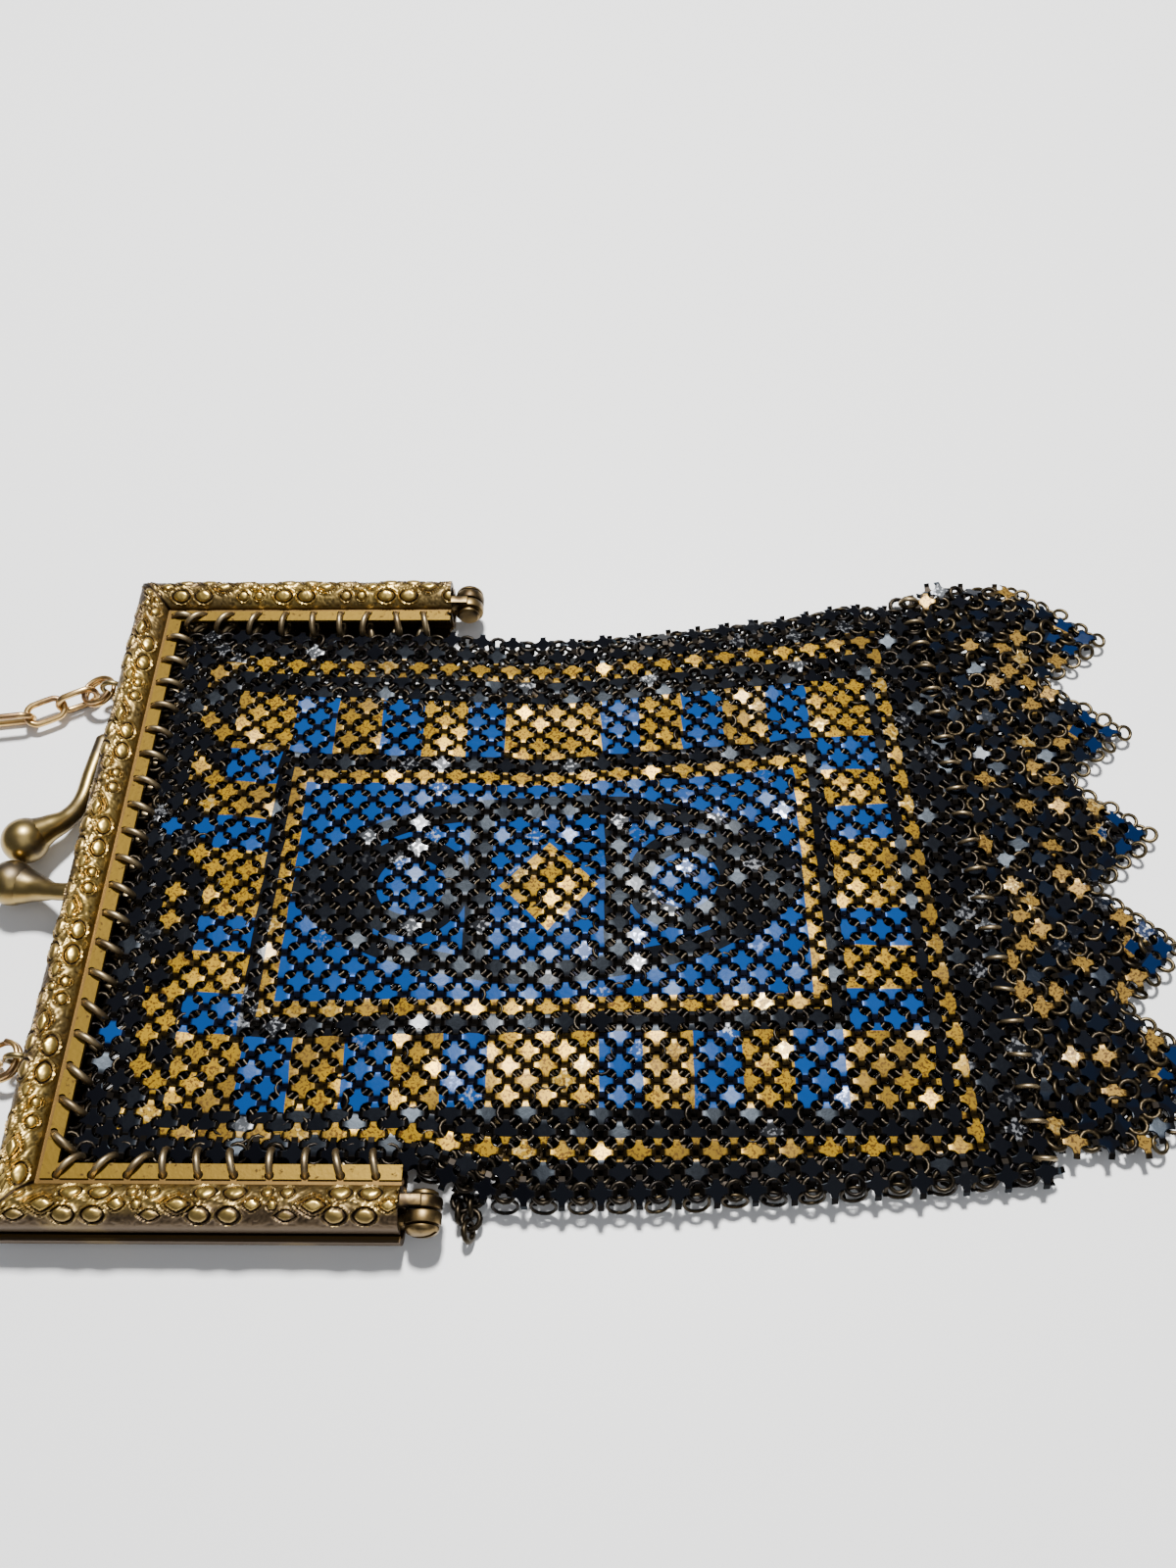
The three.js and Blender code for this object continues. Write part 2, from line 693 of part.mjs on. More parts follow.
function hem() {
  const edge = (column, share) => tableValue(hemSections, column, share) * halfOpening;
  const total = hemBand + pointDepth;
  const bandEnd = hemX + hemBand;
  const side = (row, edgeY) => new THREE.Vector2(hemX + row.along * hemBand, edgeY);
  const outline = hemSections.map((row) => side(row, row.far * halfOpening));
  const far = edge('far', 1);
  const near = -edge('near', 1);
  for (let y = far; y - pointPitch > near; y -= pointPitch) {
    outline.push(new THREE.Vector2(bandEnd + pointDepth, y - pointPitch / 2));
    outline.push(new THREE.Vector2(bandEnd, y - pointPitch));
  }
  for (const row of [...hemSections].reverse()) {
    outline.push(side(row, -row.near * halfOpening));
  }
  const geometry = new THREE.ExtrudeGeometry(new THREE.Shape(outline), { depth: 1, bevelEnabled: false });
  const position = geometry.attributes.position;
  for (let i = 0; i < position.count; i += 1) {
    const share = (position.getX(i) - hemX) / total;
    const height = THREE.MathUtils.lerp(hemHeadHeight, hemTipHeight, share);
    position.setZ(i, position.getZ(i) * height);
  }
  return closedGeometry(geometry);
}

// Assembly

function piece(name, geometry, material) {
  const mesh = new THREE.Mesh(geometry, material);
  mesh.name = name;
  return mesh;
}

const purse = new THREE.Group();

const frame = new THREE.Group();
frame.add(piece('frame_front', frameFront(), frameMetal));
frame.add(piece('frame_back', frameBack(), frameMetal));
for (const [name, side] of [['far', 1], ['near', -1]]) {
  const pin = piece(`hinge_pin_${name}`, hingePin(side), rivetMetal);
  pin.position.set(tongueCentreX, side * tongueY, splitHeight);
  frame.add(pin);
}
purse.add(frame);

const carrying = new THREE.Group();
for (const [name, side] of [['far', 1], ['near', -1]]) {
  const ring = piece(`split_ring_${name}`, splitRing(), chainMetal);
  ring.position.set(eyeX - ringSpan / 2, chainMiddleY + side * eyeY, eyeHeight - ringDrop / 2);
  ring.rotation.y = -ringTilt;
  carrying.add(ring);
}
carrying.add(piece('chain', chain(), chainMetal));
purse.add(carrying);

const bag = new THREE.Group();
const frontWallBottom = (spot) => frontWallTop(spot) - bagWall;
const backWallTop = (spot) => backWallBottom(spot) + bagWall;
bag.add(piece('mesh_front', wall(bagPlace, frontWallTop, frontWallBottom), enamelMesh));
bag.add(piece('mesh_back', wall(bagPlace, backWallTop, backWallBottom), darkMesh));
bag.add(piece('mesh_hem', hem(), darkMesh));
purse.add(bag);

// The origin is on the table, under the middle of the whole purse
const bounds = new THREE.Box3().setFromObject(purse);
const middle = bounds.getCenter(new THREE.Vector3());
purse.position.set(-middle.x, -middle.y, -bounds.min.z);

export default purse;
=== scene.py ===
# %% [markdown]
# # A flat metal mesh purse
# The purse lies on its back on a pale table. A pressed and gilt frame with a ball clasp stands to the
# left, and a bag of small enamelled plates, each hooked to its neighbours by rings, runs to the right and
# ends in a zigzag hem. The solids that come with the file say where each piece is and how big it may be,
# so the first step loads them and keeps their box.

# %% Load the solids
import math
import random

import bpy
import numpy as np
from mathutils import Matrix, Vector


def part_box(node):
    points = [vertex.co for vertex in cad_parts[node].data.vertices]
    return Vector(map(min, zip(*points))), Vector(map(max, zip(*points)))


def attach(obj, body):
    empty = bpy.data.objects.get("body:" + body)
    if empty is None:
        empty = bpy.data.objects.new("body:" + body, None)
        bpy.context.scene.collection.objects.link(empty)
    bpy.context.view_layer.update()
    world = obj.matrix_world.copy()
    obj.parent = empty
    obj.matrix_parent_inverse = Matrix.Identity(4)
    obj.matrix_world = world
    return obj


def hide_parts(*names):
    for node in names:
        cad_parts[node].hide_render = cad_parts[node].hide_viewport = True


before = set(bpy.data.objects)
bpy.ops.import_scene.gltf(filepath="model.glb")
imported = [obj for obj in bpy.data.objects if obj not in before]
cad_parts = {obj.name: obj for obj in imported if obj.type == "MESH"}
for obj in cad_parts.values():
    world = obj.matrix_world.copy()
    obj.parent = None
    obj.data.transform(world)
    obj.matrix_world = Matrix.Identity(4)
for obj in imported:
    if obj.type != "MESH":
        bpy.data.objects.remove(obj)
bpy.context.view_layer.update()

MM = 0.001
print("solids:", sorted(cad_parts))

# %% [markdown]
# ## Sizes
# The frame's front half gives the driving places: its box is as wide as the frame, and the bag's box
# starts one small gap inside the top bar's flange. Everything else is a named size in millimetres, in a
# frame of its own: X counts from the outer face of the top bar towards the hem, Y across the purse from
# its middle, and Z up from the table.

# %% Driving sizes
bead_width = 5.8
flange_width = 2.5
bar_width = bead_width + flange_width
seat_gap = 0.3
half_height = 4.4
relief_rise = 0.45
split_gap = 0.4
sheet = 0.8
flange_drop = 1.9
flange_top = half_height - flange_drop
bead_shoulder = 1.5
back_lip = 1.0
split_height = relief_rise + half_height + split_gap / 2
mouth_x = bar_width + seat_gap

low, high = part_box("frame_front")
half_width = (high.y - low.y) / MM / 2
middle_y = (high.y + low.y) / MM / 2
low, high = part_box("mesh_front")
bag_length = (high.x - low.x) / MM
zero_x = low.x / MM - mouth_x
half_opening = half_width - bar_width - seat_gap
hem_x = mouth_x + bag_length + seat_gap
print("frame width", round(2 * half_width, 2), "bag length", round(bag_length, 2), "shift", round(zero_x, 2))


def placed(points):
    """Local millimetres, as an array of points, to metres in the solids' frame."""
    return (np.asarray(points, float) + np.array([zero_x, middle_y, 0.0])) * MM


# %% [markdown]
# ## Helpers for operators
# An operator works on what is selected, and the loaded solids are all selected, so each piece starts by
# deselecting everything. Faces and edges are then picked by their place.

# %% Selecting and naming
def deselect():
    if bpy.context.object and bpy.context.object.mode != "OBJECT":
        bpy.ops.object.mode_set(mode="OBJECT")
    bpy.ops.object.select_all(action="DESELECT")


def active_only(piece):
    deselect()
    piece.select_set(True)
    bpy.context.view_layer.objects.active = piece


def named(name):
    """The object that the last operator made, renamed."""
    piece = bpy.context.object
    piece.name = name
    piece.data.name = name
    return piece


def apply_modifier(piece, kind, **settings):
    active_only(piece)
    modifier = piece.modifiers.new(kind.title(), kind)
    for key, value in settings.items():
        setattr(modifier, key, value)
    bpy.ops.object.modifier_apply(modifier=modifier.name)


def smooth(piece, degrees=40):
    active_only(piece)
    bpy.ops.object.shade_smooth_by_angle(angle=math.radians(degrees))


def join(name, pieces):
    deselect()
    for piece in pieces:
        piece.select_set(True)
    bpy.context.view_layer.objects.active = pieces[0]
    if len(pieces) > 1:
        bpy.ops.object.join()
    return named(name)


def settle(piece):
    """Puts the object's place, turn and scale into its mesh."""
    active_only(piece)
    bpy.ops.object.transform_apply(location=True, rotation=True, scale=True)


def turn_outward(weld=None):
    """Turns all faces of the active mesh outward, after welding points closer than a distance."""
    bpy.ops.object.mode_set(mode="EDIT")
    bpy.ops.mesh.select_all(action="SELECT")
    if weld:
        bpy.ops.mesh.remove_doubles(threshold=weld)
    bpy.ops.mesh.normals_make_consistent(inside=False)
    bpy.ops.object.mode_set(mode="OBJECT")


def linked(name, data):
    """A new object that shows this mesh or curve."""
    piece = bpy.data.objects.new(name, data)
    bpy.context.scene.collection.objects.link(piece)
    return piece


def torus(name, radius, wire_radius, around, section, **placing):
    """A closed ring of wire: its two radii in mm, and its steps around and in section."""
    deselect()
    bpy.ops.mesh.primitive_torus_add(
        major_radius=radius * MM, minor_radius=wire_radius * MM,
        major_segments=around, minor_segments=section, **placing,
    )
    return named(name)


def number_points(piece, name, values):
    """Writes one number for each point of the mesh, for a finish to read."""
    layer = piece.data.attributes.new(name, "FLOAT", "POINT")
    layer.data.foreach_set("value", np.asarray(values, np.float32).ravel())


def select_where(piece, kind, test):
    """Edit mode with the vertices, edges or faces of the active mesh that pass the test selected."""
    bpy.ops.object.mode_set(mode="EDIT")
    bpy.ops.mesh.select_mode(type=kind)
    bpy.ops.mesh.select_all(action="DESELECT")
    bpy.ops.object.mode_set(mode="OBJECT")
    items = {"VERT": piece.data.vertices, "EDGE": piece.data.edges, "FACE": piece.data.polygons}[kind]
    for item in items:
        item.select = bool(test(item))
    bpy.ops.object.mode_set(mode="EDIT")


def triangles(piece):
    return sum(len(face.vertices) - 2 for face in piece.data.polygons)


def finished(piece, slot, *nodes):
    """A finished piece rides on the purse and stands for its solids. Its slot is not used."""
    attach(piece, "root")
    if nodes:
        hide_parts(*nodes)
    print(piece.name, triangles(piece), "triangles")
    return piece


# %% [markdown]
# ## Copies in one mesh
# The bag has over two thousand plates and as many rings. Each is modelled once, small and light, and
# copied by one function that joins all copies in a single mesh. It also writes what the materials need:
# the flat place of each point on the unfolded mesh as a UV map, a tone that differs from copy to copy, and
# a mask that is 1 along the edge of a plate, on its bent arms and underneath, which the enamel paints near
# black, partly as bare metal and partly as painted shade under the rings and beneath the plates.

# %% Spread one shape over many spots
flat_unit = 100.0


def spread(name, shape, spots, ways, ups, tones, flats=None, bare_arm_and_shade=None):
    """Copies of a shape in one mesh, each with its X along a way and its Z along an up."""
    points = np.array([vertex.co for vertex in shape.data.vertices])
    faces = [tuple(face.vertices) for face in shape.data.polygons]
    ups = ups / np.linalg.norm(ups, axis=1, keepdims=True)
    ways = ways - ups * (ways * ups).sum(1, keepdims=True)
    ways = ways / np.linalg.norm(ways, axis=1, keepdims=True)
    axes = (ways, np.cross(ups, ways), ups)
    turned = sum(points[None, :, n:n + 1] * axis[:, None, :] for n, axis in enumerate(axes))
    moved = placed(spots)[:, None, :] + turned
    copies, count = len(spots), len(points)
    joined = [tuple(i + copy * count for i in face) for copy in range(copies) for face in faces]
    mesh = bpy.data.meshes.new(name)
    mesh.from_pydata(moved.reshape(-1, 3), [], joined)
    piece = linked(name, mesh)
    number_points(piece, "tone", np.repeat(tones, count))
    number_points(piece, "bare_arm_and_shade", np.tile(np.zeros(count) if bare_arm_and_shade is None else bare_arm_and_shade, copies))
    if flats is not None:
        flat = (flats[:, None, :] + points[None, :, :2] / MM).reshape(-1, 2) / flat_unit
        corners = np.zeros(len(mesh.loops), np.int32)
        mesh.loops.foreach_get("vertex_index", corners)
        mesh.uv_layers.new(name="flat").data.foreach_set("uv", flat[corners].astype(np.float32).ravel())
    mesh.validate()
    return piece


def discard(*shapes):
    for shape in shapes:
        bpy.data.objects.remove(shape)


# %% [markdown]
# ## Shader maths as Python
# A number socket is wrapped in a small class, so that `1 - mask * 0.5` adds the Math nodes that it says.
# A number socket is wrapped in a small class, so that `1 - mask * 0.5` adds the Math nodes that it says.
# Colours don't go through Math nodes, which would turn them grey: they are mixed by Mix nodes. One method
# makes any other node from its type, its settings and its inputs. A colour is written as three numbers.

# %% The wrapper
def math_method(operation):
    """A method that adds the Math node of one operation on this number and another."""
    return lambda self, other=0.0: self.math(operation, self, other)


class Number:
    def __init__(self, finish, socket):
        self.finish = finish
        self.socket = socket

    def math(self, operation, *values):
        return self.finish.node("ShaderNodeMath", {"operation": operation}, dict(enumerate(values)))

    __add__ = __radd__ = math_method("ADD")
    __mul__ = __rmul__ = math_method("MULTIPLY")
    __sub__ = math_method("SUBTRACT")
    __truediv__ = math_method("DIVIDE")
    __pow__ = math_method("POWER")
    __lt__ = math_method("LESS_THAN")
    __gt__ = math_method("GREATER_THAN")
    __abs__ = math_method("ABSOLUTE")
    least = math_method("MINIMUM")
    most = math_method("MAXIMUM")

    def __rsub__(self, other):
        return self.math("SUBTRACT", other, self)

    def fraction(self):
        """What this number has above the next whole number below it."""
        return self - self.math("FLOOR", self)

    def ramp(self, start, end, low=0.0, high=1.0):
        """Smoothly from low to high as this number goes from start to end."""
        settings = {"interpolation_type": "SMOOTHSTEP"}
        return self.finish.node("ShaderNodeMapRange", settings, {0: self, 1: start, 2: end, 3: low, 4: high})


class Finish:
    """A material with one Principled shader, and the nodes that feed it."""

    def __init__(self, name):
        self.material = bpy.data.materials.new(name)
        self.material.use_nodes = True
        self.tree = self.material.node_tree
        self.shader = self.tree.nodes["Principled BSDF"]

    def node(self, kind, settings=None, inputs=None, output=0):
        node = self.tree.nodes.new(kind)
        for key, value in (settings or {}).items():
            setattr(node, key, value)
        for key, value in (inputs or {}).items():
            self.feed(node.inputs[key], value)
        return Number(self, node.outputs[output])

    def feed(self, socket, value):
        if isinstance(value, Number):
            self.tree.links.new(value.socket, socket)
        else:
            socket.default_value = (*value, 1.0) if isinstance(value, tuple) else value

    def set(self, **values):
        for key, value in values.items():
            self.feed(self.shader.inputs[key.replace("_", " ").title()], value)

    def mix(self, factor, first, second):
        return self.node("ShaderNodeMix", {"data_type": "RGBA"}, {0: factor, 6: first, 7: second}, 2)

    def attribute(self, name):
        return self.node("ShaderNodeAttribute", {"attribute_name": name}, output=2)

    def place(self):
        return self.node("ShaderNodeTexCoord", output=3)

    def noise(self, scale, detail=3.0, where=None):
        inputs = {"Vector": where or self.place(), "Scale": scale, "Detail": detail}
        return self.node("ShaderNodeTexNoise", {}, inputs)

    def bump(self, height, strength, distance):
        inputs = {"Height": height, "Strength": strength, "Distance": distance}
        self.set(normal=self.node("ShaderNodeBump", {}, inputs))


def paint(piece, finish):
    piece.data.materials.clear()
    piece.data.materials.append(finish.material)
    return piece


# %% [markdown]
# ## Camera, table and light
# The camera looks down at the purse from its near side, a little under 60 degrees above the table. Its
# place was worked out from the row of drilled holes round the frame. The table is one pale plane, and the
# light is a soft key from the far side, with a weaker fill from above.

# %% Camera
camera_at = Vector((54.06, -95.57, 178.64)) * MM
camera_turn = (math.radians(32.33), math.radians(0.976), math.radians(0.577))
deselect()
bpy.ops.object.camera_add(location=camera_at, rotation=camera_turn)
camera = named("camera_view")
camera.data.sensor_fit = "AUTO"
camera.data.sensor_width = 36.0
camera.data.lens = 29.79
camera.data.clip_start = 0.01
camera.data.clip_end = 10.0
bpy.context.scene.camera = camera

# %% Table
deselect()
bpy.ops.mesh.primitive_plane_add(size=6.0, location=(0.0, 0.0, -0.0002))
table = named("table_top")
table_finish = Finish("table white")
cloud = table_finish.noise(6.0, 2.0)
table_finish.set(
    base_color=table_finish.mix(cloud, (0.84, 0.845, 0.85), (0.88, 0.885, 0.89)),
    roughness=0.45,
)
paint(table, table_finish)


# %% Lights
def soft_light(name, at, aim, size, power, tint):
    deselect()
    bpy.ops.object.light_add(type="AREA", location=at)
    light = named(name)
    light.data.shape = "SQUARE"
    light.data.size = size
    light.data.energy = power
    light.data.color = tint
    light.rotation_euler = (Vector(aim) - Vector(at)).to_track_quat("-Z", "Y").to_euler()


soft_light("key", at=(0.07, 0.44, 1.0), aim=(0.03, 0.0, 0.0), size=0.13, power=33.0, tint=(1.0, 0.99, 0.97))
soft_light("fill", at=(0.35, -0.55, 1.1), aim=(0.0, 0.0, 0.0), size=1.1, power=4.2, tint=(0.95, 0.97, 1.0))
sky = bpy.data.worlds.new("room")
sky.use_nodes = True
background = sky.node_tree.nodes["Background"].inputs
background["Color"].default_value = (0.93, 0.95, 1.0, 1.0)
background["Strength"].default_value = 0.17
bpy.context.scene.world = sky

# %% [markdown]
# ## Frame: the pressed relief
# Each half of the frame is a channel of thin brass: a half-round bead outside, pressed with a band of
# pointed leaves, paired seeds and dots, and a flat drilled flange inside. The relief is far too fine for
# the solids, so the bead is built here as a dense grid that is swept round the three bars with mitred
# corners, and each point is lifted along the bead's own normal by a height function. The function also
# goes into an attribute, so that the finish can keep tarnish in the hollows and rub the high spots bright.

# %% Relief heights
relief_pitch = 17.6
relief_phase = -4.2
inner_row, middle_row, outer_row = 1.4, -0.4, -1.75
# Each motif is its share of the pitch, row, length, width, rise, number of rims, and how pointed it is.
motifs = [
    (0.00, middle_row, 0.60, 0.60, 0.34, 1, 0.0),
    (0.30, middle_row, 1.45, 0.88, 0.44, 2, 1.1),
    (0.49, inner_row, 1.30, 1.00, 0.38, 1, 0.2),
    (0.71, inner_row, 1.30, 1.00, 0.38, 1, 0.2),
    (0.46, outer_row, 1.30, 0.95, 0.38, 1, 0.2),
    (0.68, outer_row, 1.30, 0.95, 0.38, 1, 0.2),
    (0.85, middle_row, 1.05, 0.72, 0.40, 1, 0.8),
    (0.95, inner_row, 0.68, 0.66, 0.30, 1, 0.0),
    (0.10, inner_row, 0.80, 0.78, 0.30, 1, 0.2),
    (0.10, outer_row, 1.20, 0.70, 0.22, 1, 0.9),
]
# Each rim is a raised line and a sunk one, by strength, distance round the motif, and width.
rim_lines = [(0.26, 1.44, 0.11), (-0.18, 1.17, 0.12), (0.24, 1.92, 0.11), (-0.14, 1.68, 0.11)]
stem_width, stem_rise, stem_swing, stem_start = 0.2, 0.22, 0.35, 0.35
relief_end, relief_full = 3.7, 3.1
stipple_size = 0.3
stipple_table = np.random.default_rng(5).uniform(-1, 1, (320, 64))


def bell(value, width):
    return np.exp(-((value / width) ** 2))


def smooth_step(value, start, end):
    t = np.clip((value - start) / (end - start), 0, 1)
    return t * t * (3 - 2 * t)


def stipple(along, across):
    """Small random bumps, from -1 to 1, blended between the points of a fine net."""
    p, q = along / stipple_size, across / stipple_size
    i, j = np.floor(p).astype(int), np.floor(q).astype(int)
    p, q = smooth_step(p - i, 0, 1), smooth_step(q - j, 0, 1)
    wide, deep = stipple_table.shape

    def at(di, dj):
        return stipple_table[(i + di) % wide, (j + dj) % deep]

    near, far = [at(0, step) * (1 - p) + at(1, step) * p for step in (0, 1)]
    return near * (1 - q) + far * q


def relief_height(along, across):
    """Height of the pressed relief, in mm, at a distance along a bar and across the crown of the bead."""
    phase = np.mod(along / relief_pitch + 0.5, 1.0) - 0.5
    height, lines, field = [np.zeros_like(along) for _ in range(3)]
    for place, row, length, width, rise, rims, point in motifs:
        share = np.mod(phase - place + 0.5, 1.0) - 0.5
        out = np.abs(share * relief_pitch) / length
        side = np.abs(across - row) / width
        reach = np.sqrt(out**2 + side**2 + point * out * side)
        height = np.maximum(height, rise * np.clip(1 - reach**3.6, 0, 1) ** 0.5)
        for strength, distance, line_width in rim_lines[:2 * rims]:
            lines += strength * bell(reach - distance, line_width)
        field = np.maximum(field, bell(reach, 1.25))
    swing = 0.05 + stem_swing * np.sin(2 * np.pi * (phase - stem_start) * 2.0)
    stem = bell(across - swing, stem_width) * (1 - field)
    ground = stipple(along, across) * (0.06 - 0.035 * field)
    pressed = height + np.clip(lines, -0.22, 0.28) + stem_rise * stem + ground
    return pressed * smooth_step(np.abs(across), relief_end, relief_full)


# %% [markdown]
# The grid has one row of points round the section of the channel and one for every quarter of a
# millimetre along the bar. A bar's rows run from mitre to mitre, so the three bars share their corner
# points and are welded there.

# %% Section of a half
crown_steps = 44
flange_gap = 0.5
off_crown = 9.0


def half_section(outer):
    """Section points as inset, height, normal and distance across the crown, for one half."""
    middle = (outer + bead_width) / 2
    reach = (bead_width - outer) / 2
    inner = reach - sheet
    crown = half_height - bead_shoulder
    groove = flange_top - 0.35
    floor_end = bead_width + flange_gap + 0.1

    def plain(points, across):
        return [(inset, height, 0.0, 0.0, across) for inset, height in points]

    rows = plain([(outer, 0.0), (outer, bead_shoulder * 0.5)], -off_crown)
    for step in range(crown_steps + 1):
        angle = math.pi * (1 - step / crown_steps * 0.9)
        inset = middle + reach * math.cos(angle)
        height = bead_shoulder + crown * math.sin(angle)
        rows.append((inset, height, math.cos(angle), math.sin(angle), (math.pi / 2 - angle) * reach))
    inside = [
        (bead_width - 0.12, groove), (floor_end, groove), (floor_end, flange_top - sheet),
        (bead_width, flange_top - sheet), (bead_width, 0.0), (bead_width - sheet, 0.0),
    ]
    for step in range(7):
        angle = math.pi * step / 6
        inside.append((middle + inner * math.cos(angle), bead_shoulder + (crown - sheet) * math.sin(angle)))
    return np.array(rows + plain(inside + [(outer + sheet, 0.0)], off_crown))


# %% One swept half
side_bar_length = 54.2
mitre_fade = 1.2
crown_start, crown_width = -4.6, 8.2


def round_again(values):
    """The section's first point once more at the end, to close the channel."""
    return np.concatenate([values, values[:, :1]], 1)


def swept_half(name, outer, side, step, strength):
    """A channel round three bars, with the relief pressed into its bead; side is 1 for the front half."""
    inset, height, out_x, out_z, across = half_section(outer).T
    runs = [(side_bar_length, inset), (half_width - inset, inset - half_width), (inset, side_bar_length)]
    pieces = []
    for number, (start, end) in enumerate(runs):
        on_top = number == 1
        steps = int((2 * half_width if on_top else side_bar_length) / step)
        run = start + (end - start) * np.linspace(0, 1, steps + 1)[:, None]
        if on_top:
            along = relief_phase - run
            from_mitre = np.minimum(start - run, run - end)
        else:
            along = (run - bead_width / 2) * (1 if number == 2 else -1)
            from_mitre = run - inset
        relief = relief_height(along, np.broadcast_to(across, run.shape))
        lift = np.where(np.abs(across) < off_crown, relief, 0.0) * strength
        lift = lift * smooth_step(from_mitre, 0, mitre_fade)
        deep = inset + lift * out_x
        tall = split_height + side * (split_gap / 2 + height + lift * out_z)
        spots = (deep, run) if on_top else (run, (half_width - deep) * (1 if number == 0 else -1))
        points = round_again(np.stack([*spots, tall], -1))
        deselect()
        bpy.ops.mesh.primitive_grid_add(x_subdivisions=len(inset), y_subdivisions=steps, size=1)
        piece = named(f"{name}_bar_{number}")
        piece.data.vertices.foreach_set("co", placed(points.reshape(-1, 3)).astype(np.float32).ravel())
        # Rows inside the channel get -1, which the gilt finish paints dark brown as painted shade.
        crown = np.where(across < off_crown, np.clip((across - crown_start) / crown_width, 0, 1), -1.0)
        number_points(piece, "relief", round_again(lift - 0.12 * bell(from_mitre, 0.35)))
        number_points(piece, "crown", round_again(np.broadcast_to(crown, run.shape)))
        pieces.append(piece)
    half = join(name, pieces)
    bpy.ops.object.mode_set(mode="EDIT")
    bpy.ops.mesh.select_all(action="SELECT")
    bpy.ops.mesh.remove_doubles(threshold=0.00001)
    bpy.ops.mesh.select_all(action="DESELECT")
    bpy.ops.mesh.select_mode(type="EDGE")
    bpy.ops.mesh.select_non_manifold()
    bpy.ops.mesh.edge_face_add()
    bpy.ops.mesh.select_all(action="SELECT")
    bpy.ops.mesh.normals_make_consistent(inside=False)
    bpy.ops.object.mode_set(mode="OBJECT")
    smooth(half, 50)
    return half


front_half = swept_half("frame_front_channel", 0.0, 1, 0.17, 1.0)
back_half = swept_half("frame_back_channel", -back_lip, -1, 0.5, 0.8)
print("front half", triangles(front_half), "back half", triangles(back_half))

# %% Gilt brass
gilt = Finish("gilt brass")
level = gilt.attribute("relief")
crown = gilt.attribute("crown")
patch = gilt.noise(55.0, 3.0)
fine = gilt.noise(900.0, 2.0)
rubbed = level.ramp(0.10, 0.34)
hollow = level.ramp(0.02, -0.09)
outside = crown.ramp(0.60, 0.24)
tarnish = ((1 - rubbed) * (patch.ramp(0.35, 0.62, 0.25, 0.75) + outside * 0.55)).most(outside * 0.68)
tarnish = tarnish.most(hollow).least(1.0)
worn_gold = gilt.mix(tarnish, (0.58, 0.40, 0.11), (0.105, 0.072, 0.042))
grimy = gilt.mix(hollow, worn_gold, (0.022, 0.014, 0.008))
gilt.set(
    # Inside the channel, where crown is below -0.5, the brass is painted dark brown as painted shade.
    base_color=gilt.mix(crown < -0.5, grimy, (0.10, 0.06, 0.02)),
    metallic=1.0,
    roughness=0.27 + tarnish * 0.2 + fine * 0.06,
)
gilt.bump(fine, 0.25, 0.00008)
paint(front_half, gilt)
paint(back_half, gilt)

finished(front_half, "frame_gilt", "frame_front")
finished(back_half, "frame_gilt", "frame_back")

# %% [markdown]
# ## Frame: the drilled flange
# Inside the bead each half has a flat gilt flange with a row of holes, one for every ring that sews the
# mesh to it. It starts as a plane as long as the top bar, is cut at the corners, and the two end edges are
# pulled along the side bars. A thickness and a boolean cut by a row of joined cylinders finish it.

# %% Where the sewing holes are
hole_pitch = 4.7
hole_inset = 6.8
hole_radius = 0.66
top_hole_y = 42.45
far_hole_x = 11.99
near_hole_x = 13.21
# Each row is its bar, its hole numbers, the place of hole 0, and its ways along and towards the bag.
hole_rows = [
    ("top", range(-1, 19), (hole_inset, top_hole_y), (0, -1), (1, 0)),
    ("far", range(0, 10), (far_hole_x, half_width - hole_inset), (1, 0), (0, -1)),
    ("near", range(-1, 9), (near_hole_x, hole_inset - half_width), (1, 0), (0, 1)),
]
holes = [
    {"bar": bar, "k": k, "at": (x + k * hole_pitch * way[0], y + k * hole_pitch * way[1]), "inward": inward}
    for bar, numbers, (x, y), way, inward in hole_rows
    for k in numbers
]
print(len(holes), "holes in each flange")


# %% One flange
def flange(name, side):
    outer = bead_width + flange_gap
    level = split_height + side * (split_gap / 2 + flange_top)
    deselect()
    bpy.ops.mesh.primitive_plane_add(size=1)
    strip = named(name)
    strip.scale = ((bar_width - outer) * MM, 2 * (half_width - outer) * MM, 1)
    strip.location = Vector(placed([((bar_width + outer) / 2, 0, level)])[0])
    settle(strip)
    corner_y = half_width - bar_width
    for cut in (-corner_y, corner_y):
        bpy.ops.object.mode_set(mode="EDIT")
        bpy.ops.mesh.select_all(action="SELECT")
        spot = placed([(0, cut, level)])[0]
        bpy.ops.mesh.bisect(plane_co=spot, plane_no=(0, 1, 0))
        bpy.ops.object.mode_set(mode="OBJECT")
    inner_x = placed([(bar_width, 0, 0)])[0][0]
    middle = middle_y * MM

    def at_arm(edge):
        ends = [strip.data.vertices[i].co for i in edge.vertices]
        on_line = all(abs(end.x - inner_x) < 1e-6 for end in ends)
        return on_line and abs((ends[0].y + ends[1].y) / 2 - middle) > corner_y * MM

    select_where(strip, "EDGE", at_arm)
    reach = (side_bar_length - bar_width) * MM
    bpy.ops.mesh.extrude_region_move(TRANSFORM_OT_translate={"value": (reach, 0, 0)})
    turn_outward()
    facing_up = strip.data.polygons[0].normal.z > 0
    apply_modifier(strip, "SOLIDIFY", thickness=sheet * MM, offset=-1.0 if facing_up == (side > 0) else 1.0)
    drills = []
    for hole in holes:
        deselect()
        bpy.ops.mesh.primitive_cylinder_add(
            vertices=14, radius=hole_radius * MM, depth=4 * sheet * MM,
            location=placed([(*hole["at"], level - side * sheet / 2)])[0],
        )
        drills.append(bpy.context.object)
    drill = join("drill", drills)
    settle(drill)
    apply_modifier(strip, "BOOLEAN", operation="DIFFERENCE", solver="EXACT", object=drill)
    discard(drill)
    smooth(strip, 30)
    return strip


